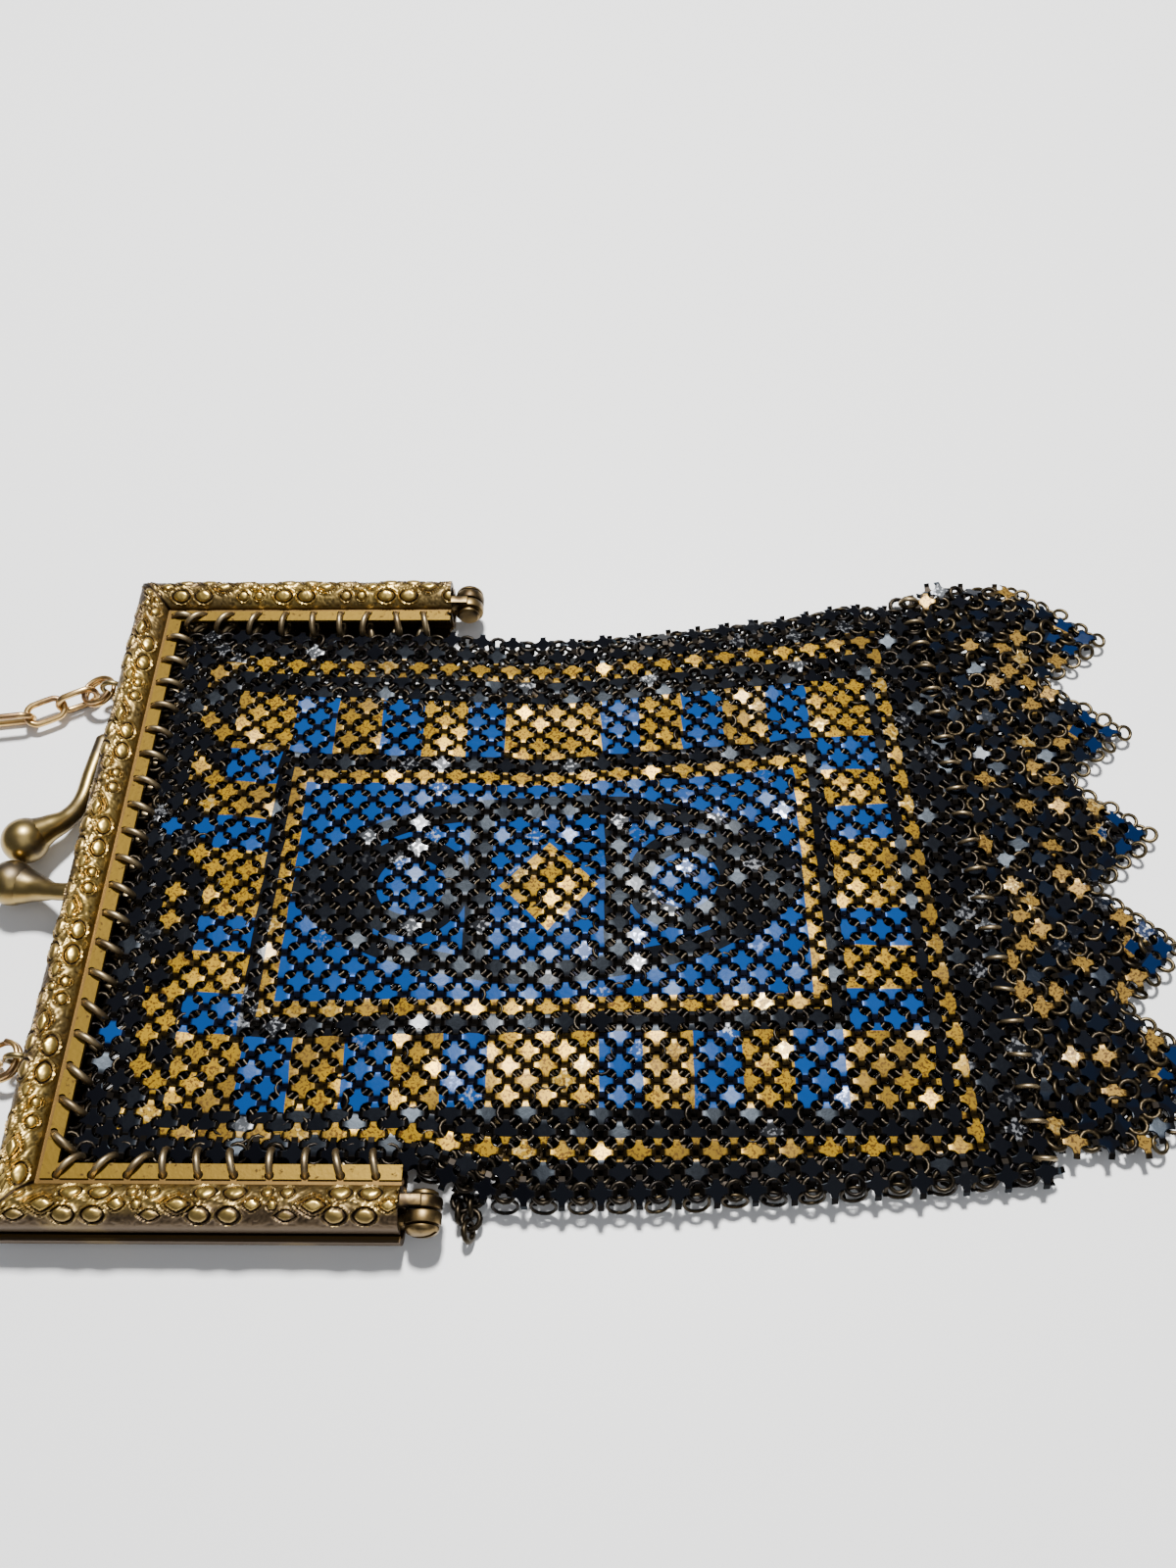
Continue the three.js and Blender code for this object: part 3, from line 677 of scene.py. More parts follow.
front_flange = flange("frame_front_flange", 1)
back_flange = flange("frame_back_flange", -1)
bright = Finish("bright gilt")
speck = bright.noise(1500.0, 3.0)
stain = bright.noise(70.0, 2.0)
pits = speck.ramp(0.60, 0.72)
clean = bright.mix(stain, (0.15, 0.092, 0.010), (0.105, 0.062, 0.008))
mottled = bright.mix(pits, clean, (0.055, 0.03, 0.006))
tall = bright.node("ShaderNodeSeparateXYZ", {}, {"Vector": bright.place()}, 2)
# Flange faces that look into the gap between the two halves are painted near black as painted shade.
painted_shade_between_halves = abs(tall - split_height * MM) < (split_gap / 2 + flange_top - sheet / 2) * MM
bright.set(
    base_color=bright.mix(painted_shade_between_halves, mottled, (0.03, 0.017, 0.006)),
    metallic=0.85,
    roughness=0.46 + pits * 0.2,
)
bright.bump(speck, 0.2, 0.0001)
for piece in (front_flange, back_flange):
    paint(piece, bright)
    finished(piece, "frame_gilt")

# %% [markdown]
# ## Sewing rings
# An open ring of thick bronze wire goes through each hole, over the flange's inner edge and down into the
# first row of the mesh. All rings are copies of one torus that stands on edge across the flange. They lean
# further towards the viewer the nearer they are, and the last far hole has lost its ring.

# %% Rings round the flanges
sewing_radius = 1.92
sewing_wire = 0.5
sewing_inset = 8.5
sewing_drop = 1.2
far_leans = (52, 40, 22, 8)
near_leans = (42, 40, 38)
slides = {"top": (0, -1, 0), "far": (-1, 0, 0), "near": (1, 0, 0)}
lost_ring = ("far", 9)
sewing_shape = torus("sewing_shape", sewing_radius, sewing_wire, 22, 9)
smooth(sewing_shape)


def sewing_lean(bar, k, draw):
    """How far a ring leans along the flange, in degrees; the side bars start with a list."""
    if bar == "top":
        return 2 + 34 * (k + 1) / 19 + draw.uniform(-5, 5)
    if bar == "far":
        return far_leans[k] if k < len(far_leans) else draw.uniform(-14, 18)
    return near_leans[k + 1] if k + 1 < len(near_leans) else draw.uniform(-20, -4)


def sewing_rings(name, side):
    draw = random.Random(11 + side)
    level = split_height + side * (split_gap / 2 + flange_top - sewing_drop)
    spots, ways = [], []
    for hole in holes:
        bar, k = hole["bar"], hole["k"]
        if (bar, k) == lost_ring:
            continue
        turn = math.radians(sewing_lean(bar, k, draw))
        lean = np.array([*hole["inward"], 0.0]) * math.cos(turn) + np.array(slides[bar]) * math.sin(turn)
        spots.append(np.array([*hole["at"], level]) + lean * (sewing_inset - hole_inset))
        ways.append(lean)
    tones = np.array([draw.random() for _ in spots])
    return spread(name, sewing_shape, np.array(spots), np.array(ways), np.cross(ways, (0, 0, 1)), tones)


bronze = Finish("bronze wire")
grime = bronze.noise(600.0, 3.0)
browned = bronze.mix(bronze.attribute("tone"), (0.14, 0.10, 0.055), (0.22, 0.16, 0.09))
bronze.set(
    base_color=bronze.mix(grime.ramp(0.35, 0.7), (0.36, 0.28, 0.16), browned),
    metallic=1.0,
    roughness=0.34 + grime * 0.15,
)
for name, side in (("sewing_rings_front", 1), ("sewing_rings_back", -1)):
    rings = sewing_rings(name, side)
    smooth(rings)
    finished(paint(rings, bronze), "ring_brass")
discard(sewing_shape)

# %% [markdown]
# ## Clasp, eyes and hinges
# The two clasp balls pass each other when the frame snaps shut. The near one stands on a trumpet-shaped
# neck, the far one on a flat arm that is soldered along the lip of the back half. Each neck is a curve
# whose thickness changes from point to point, and becomes a mesh that is joined to its ball.

# %% A wire of changing thickness
weld = 0.000001


def wire(name, points, radii, round_steps=6, between=8):
    curve = bpy.data.curves.new(name, "CURVE")
    curve.dimensions = "3D"
    curve.bevel_depth = MM
    curve.bevel_resolution = round_steps
    curve.resolution_u = between
    curve.use_fill_caps = True
    spline = curve.splines.new("BEZIER")
    spline.bezier_points.add(len(points) - 1)
    for knot, spot, radius in zip(spline.bezier_points, placed(points), radii):
        knot.co = spot
        knot.radius = radius
        knot.handle_left_type = knot.handle_right_type = "AUTO"
    active_only(linked(name, curve))
    bpy.ops.object.convert(target="MESH")
    made = named(name)
    turn_outward(weld)
    return made


def ball(name, centre, diameter):
    deselect()
    bpy.ops.mesh.primitive_uv_sphere_add(
        segments=40, ring_count=24, radius=diameter / 2 * MM, location=placed([centre])[0]
    )
    made = named(name)
    settle(made)
    return made


# %% The two balls
front_centre = (-9.6, -2.9, split_height)
front_diameter = 7.0
back_diameter = 7.2
back_centre = (-9.4, front_centre[1] + (front_diameter + back_diameter) / 2 + seat_gap, split_height)
neck_root = split_height + split_gap / 2 + bead_shoulder
front_neck = wire(
    "front_neck",
    [
        (1.2, -5.5, neck_root + 0.4), (-2.2, -5.1, neck_root - 0.2),
        (-5.0, -4.1, split_height + 0.5), (-8.0, -3.3, split_height),
    ],
    [1.35, 1.35, 2.05, 3.0],
)
front_ball = ball("front_ball", front_centre, front_diameter)
near_clasp = join("clasp_ball_near", [front_ball, front_neck])
smooth(near_clasp, 60)
strap_x = -back_lip - 0.9
strap_z = split_height - split_gap / 2 - bead_shoulder - seat_gap
back_neck = wire(
    "back_neck",
    [
        (strap_x, 25.4, strap_z), (strap_x - 0.05, 24.7, strap_z), (-2.6, 18.2, strap_z),
        (-3.1, 12.6, strap_z + 0.1), (-4.3, 9.1, split_height - 1.1),
        (-6.4, 6.9, split_height - 0.3), (-8.2, 5.4, split_height),
    ],
    [0.9, 1.35, 1.4, 1.4, 1.6, 2.15, 2.9],
)
back_ball = ball("back_ball", back_centre, back_diameter)
far_clasp = join("clasp_ball_far", [back_ball, back_neck])
smooth(far_clasp, 60)

satin = Finish("satin brass")
blotch = satin.noise(160.0, 4.0)
scratch = satin.noise(700.0, 3.0)
aged = blotch.ramp(0.42, 0.66)
satin.set(
    base_color=satin.mix(aged, (0.32, 0.23, 0.085), (0.10, 0.077, 0.05)),
    metallic=1.0,
    roughness=0.26 + aged * 0.14 + scratch * 0.08,
)
satin.bump(scratch, 0.12, 0.0001)
for piece in (near_clasp, far_clasp):
    finished(paint(piece, satin), "frame_gilt")


def worn_brass(name, scale, span, clean, worn, roughness, roughening):
    """Brass with patches of wear, whose noise turns from clean to worn within a span."""
    finish = Finish(name)
    patches = finish.noise(scale, 4.0)
    finish.set(
        base_color=finish.mix(patches.ramp(*span), clean, worn),
        metallic=1.0,
        roughness=roughness + patches * roughening,
    )
    return finish


brown = worn_brass("brown brass", 420.0, (0.40, 0.64), (0.20, 0.135, 0.055), (0.045, 0.03, 0.016), 0.34, 0.12)

# %% Eyes for the chain's rings
eye_y = 32.6
chain_middle = 2.2
eye_radius = 1.75
eye_wire = 0.9
eye_x = -back_lip - eye_radius + 0.45 * eye_wire
eye_height = split_height - 1.4
eyes = [
    torus(
        "eye", eye_radius, eye_wire / 2, 28, 12,
        location=placed([(eye_x, y, eye_height)])[0], rotation=(math.pi / 2, 0, 0),
    )
    for y in (chain_middle + eye_y, chain_middle - eye_y)
]
ring_eyes = join("ring_eyes", eyes)
settle(ring_eyes)
smooth(ring_eyes)
finished(paint(ring_eyes, satin), "frame_gilt")

# %% [markdown]
# A hinge is two round tongues side by side, one from each half, with a slotted rivet through both. A
# tongue is a cylinder on its side, with a stem that goes into the channel, and both get a small bevel.

# %% Hinge tongues
tongue_diameter = 5.0
tongue_thickness = 1.6
tongue_x = side_bar_length + seat_gap + tongue_diameter / 2
tongue_y = half_width - bead_width / 2
tongue_pitch = tongue_thickness + seat_gap


def tongue(name, y, side):
    deselect()
    bpy.ops.mesh.primitive_cylinder_add(
        vertices=48, radius=tongue_diameter / 2 * MM, depth=tongue_thickness * MM,
        location=placed([(tongue_x, y, split_height)])[0], rotation=(math.pi / 2, 0, 0),
    )
    disc = named(name + "_disc")
    settle(disc)
    root = side_bar_length - 6
    low_edge = split_height + side * (split_gap / 2 + seat_gap)
    stem_height = 2.4
    stem_middle = ((root + tongue_x) / 2, y, low_edge + side * stem_height / 2)
    deselect()
    bpy.ops.mesh.primitive_cube_add(size=1, location=placed([stem_middle])[0])
    stem = named(name + "_stem")
    stem.scale = ((tongue_x - root) * MM, tongue_thickness * MM * 0.96, stem_height * MM)
    settle(stem)
    plate = join(name, [disc, stem])
    bevel_angle = math.radians(50)
    apply_modifier(plate, "BEVEL", width=0.22 * MM, segments=2, limit_method="ANGLE", angle_limit=bevel_angle)
    smooth(plate, 35)
    return plate


for side, half in ((1, "front"), (-1, "back")):
    far_y = tongue_y - side * tongue_pitch / 2
    tongues = join(
        f"hinge_tongues_{half}", [tongue("tongue_far", far_y, side), tongue("tongue_near", -far_y, side)]
    )
    finished(paint(tongues, brown), "frame_gilt")


# %% Rivets
def rivet(name, side):
    end = (tongue_pitch + tongue_thickness) / 2 + seat_gap
    head = end + 1.2
    profile = [
        (0, -end - 0.6), (1.6, -end - 0.6), (1.9, -end - 0.35), (1.9, -end), (1.2, -end), (1.2, end),
        (2.3, end), (2.3, end + 0.3), (2.05, end + 0.68), (1.45, end + 1.0), (0.7, end + 1.16), (0, head),
    ]
    lines = [(i, i + 1) for i in range(len(profile) - 1)]
    mesh = bpy.data.meshes.new(name)
    mesh.from_pydata([(x * MM, 0, z * MM) for x, z in profile], lines, [])
    pin = linked(name, mesh)
    apply_modifier(pin, "SCREW", steps=40, render_steps=40, use_merge_vertices=True, merge_threshold=weld)
    turn_outward(weld)
    deselect()
    bpy.ops.mesh.primitive_cube_add(size=1, location=(0, 0, head * MM))
    saw = bpy.context.object
    saw.scale = (8 * MM, 0.7 * MM, 1.2 * MM)
    saw.rotation_euler = (0, 0, math.radians(20))
    settle(saw)
    apply_modifier(pin, "BOOLEAN", operation="DIFFERENCE", solver="EXACT", object=saw)
    discard(saw)
    pin.rotation_euler = (math.radians(-90 * side), 0, 0)
    pin.location = Vector(placed([(tongue_x, side * tongue_y, split_height)])[0])
    settle(pin)
    smooth(pin, 35)
    return pin


for name, side in (("far", 1), ("near", -1)):
    pin = rivet(f"rivet_{name}", side)
    finished(paint(pin, brown), "rivet_brass", f"hinge_pin_{name}")

# %% [markdown]
# ## Split rings and chain
# A ring of wire wound nearly twice hangs in each eye, and the chain starts from it with two small links
# and goes on as one long link and two small ones over and over. The links lie along a smooth route on the
# table, drawn through a few chosen points, and stand on edge and lie flat by turns.

# %% Split rings
ring_wire = 0.8
ring_radius = (6.2 - ring_wire) / 2
ring_turns = 1.85
chain_height = 2.25
ring_tilt = math.asin((eye_height - chain_height) / (2 * ring_radius))
ring_span = 2 * ring_radius * math.cos(ring_tilt)
rosy = worn_brass("rosy gilt wire", 260.0, (0.38, 0.62), (0.70, 0.46, 0.18), (0.30, 0.18, 0.09), 0.22, 0.2)
rosy.bump(rosy.noise(1200.0, 2.0), 0.15, 0.00008)
for name, side in (("far", 1), ("near", -1)):
    turns = []
    steps = 22
    for step in range(steps + 1):
        angle = 2 * math.pi * ring_turns * step / steps + (0.6 if side > 0 else 2.4)
        rise = (ring_wire + 0.06) * ring_turns * (step / steps - 0.5)
        x, y = ring_radius * math.cos(angle), ring_radius * math.sin(angle)
        tilted_x = x * math.cos(ring_tilt) - rise * math.sin(ring_tilt)
        tilted_z = x * math.sin(ring_tilt) + rise * math.cos(ring_tilt)
        centre = (eye_x - ring_span / 2, chain_middle + side * eye_y, (eye_height + chain_height) / 2)
        turns.append((centre[0] + tilted_x, centre[1] + y, centre[2] + tilted_z))
    ring = wire(f"wound_ring_{name}", turns, [ring_wire / 2] * len(turns), round_steps=3, between=4)
    smooth(ring, 60)
    finished(paint(ring, rosy), "ring_brass", f"split_ring_{name}")

# %% The chain's route
link_wire = 1.1
small_length, long_length, link_width = 7.2, 16.5, 4.7
link_grip = 0.75 * link_wire
hook = (link_width - link_wire - link_grip) / 2
chain_reach, chain_spread = 106.0, 31.0
route_shares = [(0.142, 0.84), (0.321, 0.87), (0.585, 1.0), (0.811, 0.84), (0.953, 0.42)]
route_start = ring_span - eye_x - hook
half_route = [(-route_start, eye_y)]
half_route += [(-route_start - out * chain_reach, across * chain_spread) for out, across in route_shares]
route = half_route + [(-route_start - chain_reach, 0.0)] + [(x, -y) for x, y in reversed(half_route)]


def centripetal(points, fine=60):
    """A smooth line through the points: a centripetal Catmull-Rom curve."""
    points = [np.array(p, float) for p in points]
    ends = [2 * points[0] - points[1], *points, 2 * points[-1] - points[-2]]
    line = []
    for a, b, c, d in zip(ends, ends[1:], ends[2:], ends[3:]):
        gaps = [np.linalg.norm(q - p) ** 0.5 for p, q in ((a, b), (b, c), (c, d))]
        leave = ((b - a) / gaps[0] - (c - a) / (gaps[0] + gaps[1]) + (c - b) / gaps[1]) * gaps[1]
        arrive = ((c - b) / gaps[1] - (d - b) / (gaps[1] + gaps[2]) + (d - c) / gaps[2]) * gaps[1]
        for step in range(fine):
            t = step / fine
            line.append(
                (2 * t**3 - 3 * t**2 + 1) * b + (t**3 - 2 * t**2 + t) * leave
                + (3 * t**2 - 2 * t**3) * c + (t**3 - t**2) * arrive
            )
    line.append(points[-1])
    return np.array(line)


route_line = centripetal(route)
travelled = np.concatenate([[0], np.cumsum(np.linalg.norm(np.diff(route_line, axis=0), axis=1))])
print("chain route", round(travelled[-1], 1), "mm")


# %% Links
def link_shape(name, length):
    shape = torus(name, (link_width - link_wire) / 2, link_wire / 2, 28, 10)
    straight = (length - link_width) / 2 * MM
    for vertex in shape.data.vertices:
        if abs(vertex.co.x) > 1e-7:
            vertex.co.x += straight if vertex.co.x > 0 else -straight
    return shape


pitch_loss = link_wire + link_grip
repeat = 2 * (small_length - pitch_loss) + long_length - pitch_loss
end_run = 2 * (small_length - pitch_loss)
repeats = round((travelled[-1] - end_run) / repeat)
stretch = travelled[-1] / (repeats * repeat + end_run)
lengths = [small_length, small_length, long_length] * repeats + [small_length, small_length]
links = []
gone = 0.0
for number, length in enumerate(lengths):
    pitch = (length - pitch_loss) * stretch
    ends = [
        np.array([np.interp(min(s, travelled[-1]), travelled, route_line[:, axis]) for axis in (0, 1)])
        for s in (gone, gone + pitch)
    ]
    gone += pitch
    heading = math.atan2(*(ends[1] - ends[0])[::-1])
    on_ring = number in (0, len(lengths) - 1)
    roll = math.pi / 2 if on_ring else math.radians(70 if number % 2 == 0 else -20)
    shape = link_shape(f"link_{number}", pitch + pitch_loss)
    middle = (ends[0] + ends[1]) / 2
    turn = Matrix.Rotation(heading, 4, "Z") @ Matrix.Rotation(roll, 4, "X")
    spot = placed([(middle[0], chain_middle + middle[1], chain_height)])[0]
    shape.data.transform(Matrix.Translation(spot) @ turn)
    links.append(shape)
chain = join("chain_links", links)
smooth(chain, 60)
print(len(lengths), "links, of which", repeats, "long")
finished(paint(chain, rosy), "chain_brass", "chain")

# %% [markdown]
# ## The mesh: one plate and one ring
# A plate is a small square plane. Its four corners are bevelled inwards to round notches, and its four
# A plate is a small square plane. Its four corners are bevelled inwards to round notches, and its four
# sides are pulled out and bent down as arms. Solidify gives it a thickness, and an inset gives its top a
# soft rim. Four arms from four plates hook into each ring, which is a thin torus. The hem's rings are
# thicker, and those on its edge a little smaller.

# %% Plate and ring
plate_half = 1.38
notch = 0.95
notch_profile = 0.084
arm_steps = [(0.34, -0.06), (0.52, -0.42)]
plate_thickness = 0.2
rim_width, rim_rise = 0.1, 0.05
arm_start, arm_fade, underneath = 1.4, 0.36, -0.12


def plate_shape(name, with_rim):
    deselect()
    bpy.ops.mesh.primitive_plane_add(size=2 * plate_half * MM)
    plate = named(name)
    bpy.ops.object.mode_set(mode="EDIT")
    bpy.ops.mesh.select_all(action="SELECT")
    bpy.ops.mesh.bevel(offset=notch * MM, segments=3, profile=notch_profile, affect="VERTICES")
    for out_x, out_y in ((1, 0), (0, 1), (-1, 0), (0, -1)):

        def at_side(edge):
            ends = [plate.data.vertices[i].co for i in edge.vertices]
            return all(abs(end.x * out_x + end.y * out_y - plate_half * MM) < 2e-6 for end in ends)

        select_where(plate, "EDGE", at_side)
        for out, down in arm_steps:
            move = (out * out_x * MM, out * out_y * MM, down * MM)
            bpy.ops.mesh.extrude_region_move(TRANSFORM_OT_translate={"value": move})
    bpy.ops.object.mode_set(mode="OBJECT")
    apply_modifier(plate, "SOLIDIFY", thickness=plate_thickness * MM, offset=-1.0)
    if with_rim:
        select_where(plate, "FACE", lambda face: face.normal.z > 0.7 and face.center.z > -0.1 * MM)
        bpy.ops.mesh.inset(thickness=rim_width * MM, depth=rim_rise * MM)
        bpy.ops.object.mode_set(mode="OBJECT")
    return plate


def bare_arm_and_shade_of(shape):
    """From 0 on a plate's flat painted top to 1 at the ends of its bent arms and underneath, the parts that
    the enamel paints near black, partly as bare metal and partly as painted shade.
    """
    spots = np.array([vertex.co for vertex in shape.data.vertices]) / MM
    arm = np.clip((np.abs(spots[:, :2]).max(1) - arm_start) / arm_fade, 0, 1)
    return np.where(spots[:, 2] < underneath, 1.0, arm)


front_plate = plate_shape("front_plate", True)
plain_plate = plate_shape("plain_plate", False)
small_ring = torus("small_ring", 1.3, 0.34, 12, 6)
coarse_ring = torus("coarse_ring", 1.3, 0.34, 10, 4)
edge_ring = torus("edge_ring", 1.12, 0.31, 16, 6)
hem_ring = torus("hem_ring", 1.3, 0.42, 12, 6)
for shape in (front_plate, plain_plate, small_ring, coarse_ring, hem_ring, edge_ring):
    print(shape.name, triangles(shape), "triangles")

# %% [markdown]
# ## Where the unfolded mesh lies
# A point of the unfolded mesh is given by its distance from the mouth and its distance from the middle
# line. The sack spreads towards the hem and its sides curve in near the hinges, so a few tables say where
# the two sides and the painted bands lie along the bag. Heights are read from the solid walls by casting a
# ray onto them, and slow waves are added.

# %% Unfolded place to table place
plate_pitch = 5.12
row_pitch = 4.8
columns, rows = 25, 21
flat_half = row_pitch * rows / 2
block_reach = 37.6
bag_along = [0, 0.35, 0.41, 0.46, 0.52, 0.64, 0.8, 0.91, 1]
far_side = [1, 1, 0.995, 0.99, 0.995, 1.045, 1.11, 1.18, 1.165]
near_side = [1, 1, 1.085, 1.13, 1.13, 1.12, 1.095, 1.065, 1.035]
middle_along, middle_shift = [0, 0.2, 0.49, 0.8, 0.93, 1], [-2.5, -4.3, -4.0, -1.1, -0.4, 0]
block_along, block_share = [0.07, 0.49, 0.93], [0.94, 0.895, 0.985]
seam_slant = 0.065
slant_start, slant_full = 98, 125
ray_height, wall_middle = 0.05, 0.003
roll_width, wall_end = 1.2, 0.3


def bag_place(u, v):
    """Table place of an unfolded point, and where the near and far side of the sack lie there."""
    along = np.asarray(u) / bag_length
    far = half_opening * np.interp(along, bag_along, far_side)
    near = -half_opening * np.interp(along, bag_along, near_side)
    middle = np.interp(along, middle_along, middle_shift)
    block = block_reach * np.interp(along, block_along, block_share)
    outer = flat_half - block_reach
    far_part = middle + block + (v - block_reach) / outer * (far - middle - block)
    near_part = middle - block + (v + block_reach) / outer * (middle - block - near)
    middle_part = middle + v / block_reach * block
    y = np.where(np.abs(v) <= block_reach, middle_part, np.where(v > 0, far_part, near_part))
    x = mouth_x + u - seam_slant * v * smooth_step(u, slant_start, slant_full)
    return x, y, near, far


def surface(node, x, y, from_above):
    """Height of a solid wall over points of the table, in mm."""
    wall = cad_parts[node]
    side = 1 if from_above else -1
    heights = []
    for spot in placed(np.stack([x, y, np.zeros(len(x))], 1)):
        start = Vector((spot[0], spot[1], side * ray_height))
        hit, place, _, _ = wall.ray_cast(start, Vector((0, 0, -side)))
        if not hit:
            place = wall.closest_point_on_mesh(Vector((spot[0], spot[1], wall_middle)))[1]
        heights.append(place.z / MM)
    return np.array(heights)


def bag_height(u, v, front):
    x, y, near, far = bag_place(u, v)
    inside_y = np.clip(y, near + roll_width, far - roll_width)
    inside_x = np.clip(x, mouth_x + wall_end, mouth_x + bag_length - wall_end)
    base = surface("mesh_front" if front else "mesh_back", inside_x, inside_y, front)
    overhang = np.clip(np.abs(y - inside_y) / roll_width, 0, 1)
    return base - overhang * (0.9 if front else -0.6)


def bag_frames(u, v, front):
    """Places, ways along the bag and ways up for points of one wall."""
    step = 2.4

    def at(du, dv):
        x, y, _, _ = bag_place(u + du, v + dv)
        return np.stack([x, y, bag_height(u + du, v + dv, front)], 1)

    way, side = at(step, 0) - at(-step, 0), at(0, step) - at(0, -step)
    up = np.cross(way, side)
    return at(0, 0), way, up / np.linalg.norm(up, axis=1, keepdims=True)


def lattice(last, low_row, high_row):
    """Centres of the plates and of the rings between them, in pitches, with no plate in the mouth's line."""
    cells = [(i, j) for i in range(2 * last + 1) for j in range(2 * low_row, 2 * high_row + 1)]
    plates = [(i / 2, j / 2) for i, j in cells if i % 2 == j % 2 and i > 0]
    rings = [(i / 2, j / 2) for i, j in cells if i % 2 != j % 2]
    return np.array(plates), np.array(rings)


bag_plates, bag_rings = lattice(columns, -rows // 2 + 1, rows // 2)
print(len(bag_plates), "plates and", len(bag_rings), "rings in each wall")

# %% [markdown]
# ## Plates and rings of the two walls
# Every plate is tilted a little at random, since the mesh is slack, and the rows along the two sides roll
# over the edge. The draws come from a seeded generator, so the purse comes out the same each time.

# %% Spread them
tilts = {"plates": (4.4, 2.0), "rings": (7.0, 4.0)}
ring_drop = 0.56
back_shift = back_sink = 0.25


def tilted(up, draw, degrees):
    lean = math.tan(math.radians(degrees))
    return up + draw.normal(0, lean, up.shape) * np.array([1, 1, 0])


def slack(u, v):
    """Slow waves in the wall, in mm, flat at the mouth."""
    wave = 0.24 * np.sin(u / 9.0 + 1.3) * np.sin(v / 7.5 + 0.4) + 0.16 * np.sin(u / 4.3 - v / 6.1)
    return wave * smooth_step(u, 2, 20)


def bag_wall(name, plate, ring, front):
    draw = np.random.default_rng(3 if front else 4)
    facing = 1 if front else -1
    made = []
    for kind, shape, cells in (("plates", plate, bag_plates), ("rings", ring, bag_rings)):
        flats = (cells + (0.0 if front else back_shift)) * np.array([plate_pitch, row_pitch])
        u, v = flats.T
        spots, way, up = bag_frames(u, v, front)
        up = up * facing
        drop = ring_drop if kind == "rings" else 0.0
        spots = spots - up * (drop + (0.0 if front else back_sink))
        if front:
            spots[:, 2] += slack(u, v)
        up = tilted(up, draw, tilts[kind][0 if front else 1])
        up[:, 2] = np.abs(up[:, 2]) * facing
        tones = draw.random(len(cells))
        bare_arm_and_shade = bare_arm_and_shade_of(shape) if kind == "plates" else None
        made.append(spread(f"{name}_{kind}", shape, spots, way, up, tones, flats, bare_arm_and_shade))
    return made


front_plates, front_rings = bag_wall("front", front_plate, small_ring, True)
back_plates, back_rings = bag_wall("back", plain_plate, coarse_ring, False)

# %% [markdown]
# ## Hem
# The hem is a band of the same plates below the bag, cut in five points along the diagonals of the
# lattice. It hangs in two slack layers, so its plates tilt more. Its rings are thicker, and lighter ones
# with no plate beyond them stand out round the points.

# %% Hem layers
hem_length = 31.0
hem_tip_x = hem_x + hem_length
hem_start = 140.0
hem_cells = 6
tip_cells = 4
hem_row_pitch = 4.85
first_tip_y = 46.07
hem_far_cells = 2
hem_near_cells = 18
hem_sink = 0.45
hem_floor = 1.0
under_shift = np.array([-1.28, 1.2])


def hem_place(i, j):
    """Table place of a lattice point, j counted from the far point's row towards the near side."""
    y = first_tip_y - hem_row_pitch * j
    seam_x = mouth_x + bag_length + 0.4 - seam_slant * y
    x = seam_x + (hem_tip_x - 1.0 - seam_x) * i / (hem_cells - 0.25)
    return x, y


def hem_depth(j):
    """How many cells the hem reaches out at a row."""
    return hem_cells - abs((j + hem_far_cells) % tip_cells - hem_far_cells)


def hem_lattice():
    """Cells of the plates, of the rings between them, and of the rings that stand out on the edge."""
    cells = {"plates": [], "rings": [], "loops": []}
    for i2 in range(2 * hem_cells + 1):
        for j2 in range(-2 * hem_far_cells, 2 * hem_near_cells + 1):
            i, j = i2 / 2, j2 / 2
            edge = hem_depth(j) - 0.5
            if (i2 - j2) % 2 == 0:
                if 0 < i < edge:
                    cells["plates"].append((i, j))
            elif i <= edge and (i, j) != (0.5, -hem_far_cells):
                cells["loops" if i == edge else "rings"].append((i, j))
    return cells


def hem_layer(name, front, seed):
    draw = np.random.default_rng(seed)
    shapes = {"plates": front_plate if front else plain_plate, "rings": hem_ring, "loops": edge_ring}
    made = []
    for kind, cells in hem_lattice().items():
        shape, on_plate, count = shapes[kind], kind == "plates", len(cells)
        i, j = np.array(cells).T
        x, y = hem_place(i, j)
        inside_x = np.clip(x, mouth_x + bag_length + 0.8, None)
        spots = np.stack([x, y, surface("mesh_hem", inside_x, np.clip(y, -44.0, 54.0), front)], 1)
        spots[:, :2] += draw.normal(0, 0.14, (count, 2))
        if not front:
            spots[:, :2] += under_shift
        up = np.tile([0.0, 0.0, 1.0 if front else -1.0], (count, 1))
        way = np.tile([1.0, 0.0, 0.0], (count, 1))
        way[:, 1] = draw.normal(0, 0.12, count)
        up = tilted(up, draw, 9 if on_plate else 14)
        sink = 0.0 if on_plate else hem_sink
        spots[:, 2] += (-sink if front else sink + hem_sink) + draw.normal(0, 0.08, count)
        spots[:, 2] = np.maximum(spots[:, 2], hem_floor)
        flats = np.stack([i * plate_pitch + hem_start, j * row_pitch], 1)
        tones = draw.random(count)
        bare_arm_and_shade = bare_arm_and_shade_of(shape) if on_plate else None
        made.append(spread(f"{name}_{kind}", shape, spots, way, up, tones, flats, bare_arm_and_shade))
    return made


hem_top = hem_layer("hem_top", True, 21)
hem_under = hem_layer("hem_under", False, 22)
hem_rings = join("hem_rings", [hem_top[1], hem_under[1]])
hem_loops = join("hem_loops", [hem_top[2], hem_under[2]])

# %% [markdown]
# ## Seam, side and loose rings
# A row of thicker rings joins bag and hem, each standing on edge across the seam. Along the two sides of
# the sack one thin ring for every column stands on edge and holds the two walls together. By the near
# hinge a few linked rings of broken mesh hang loose.

# %% Rings on edge
seam_ring = torus("seam_ring", 1.5, 0.34, 16, 8)
side_ring = torus("side_ring", 1.72, 0.24, 18, 6)
seam_lean, seam_height, seam_fall = 14, 3.9, 0.07
side_height = 2.05
near_inward, far_inward = 1.8, -2.0
near_lean, far_lean = -17, 12


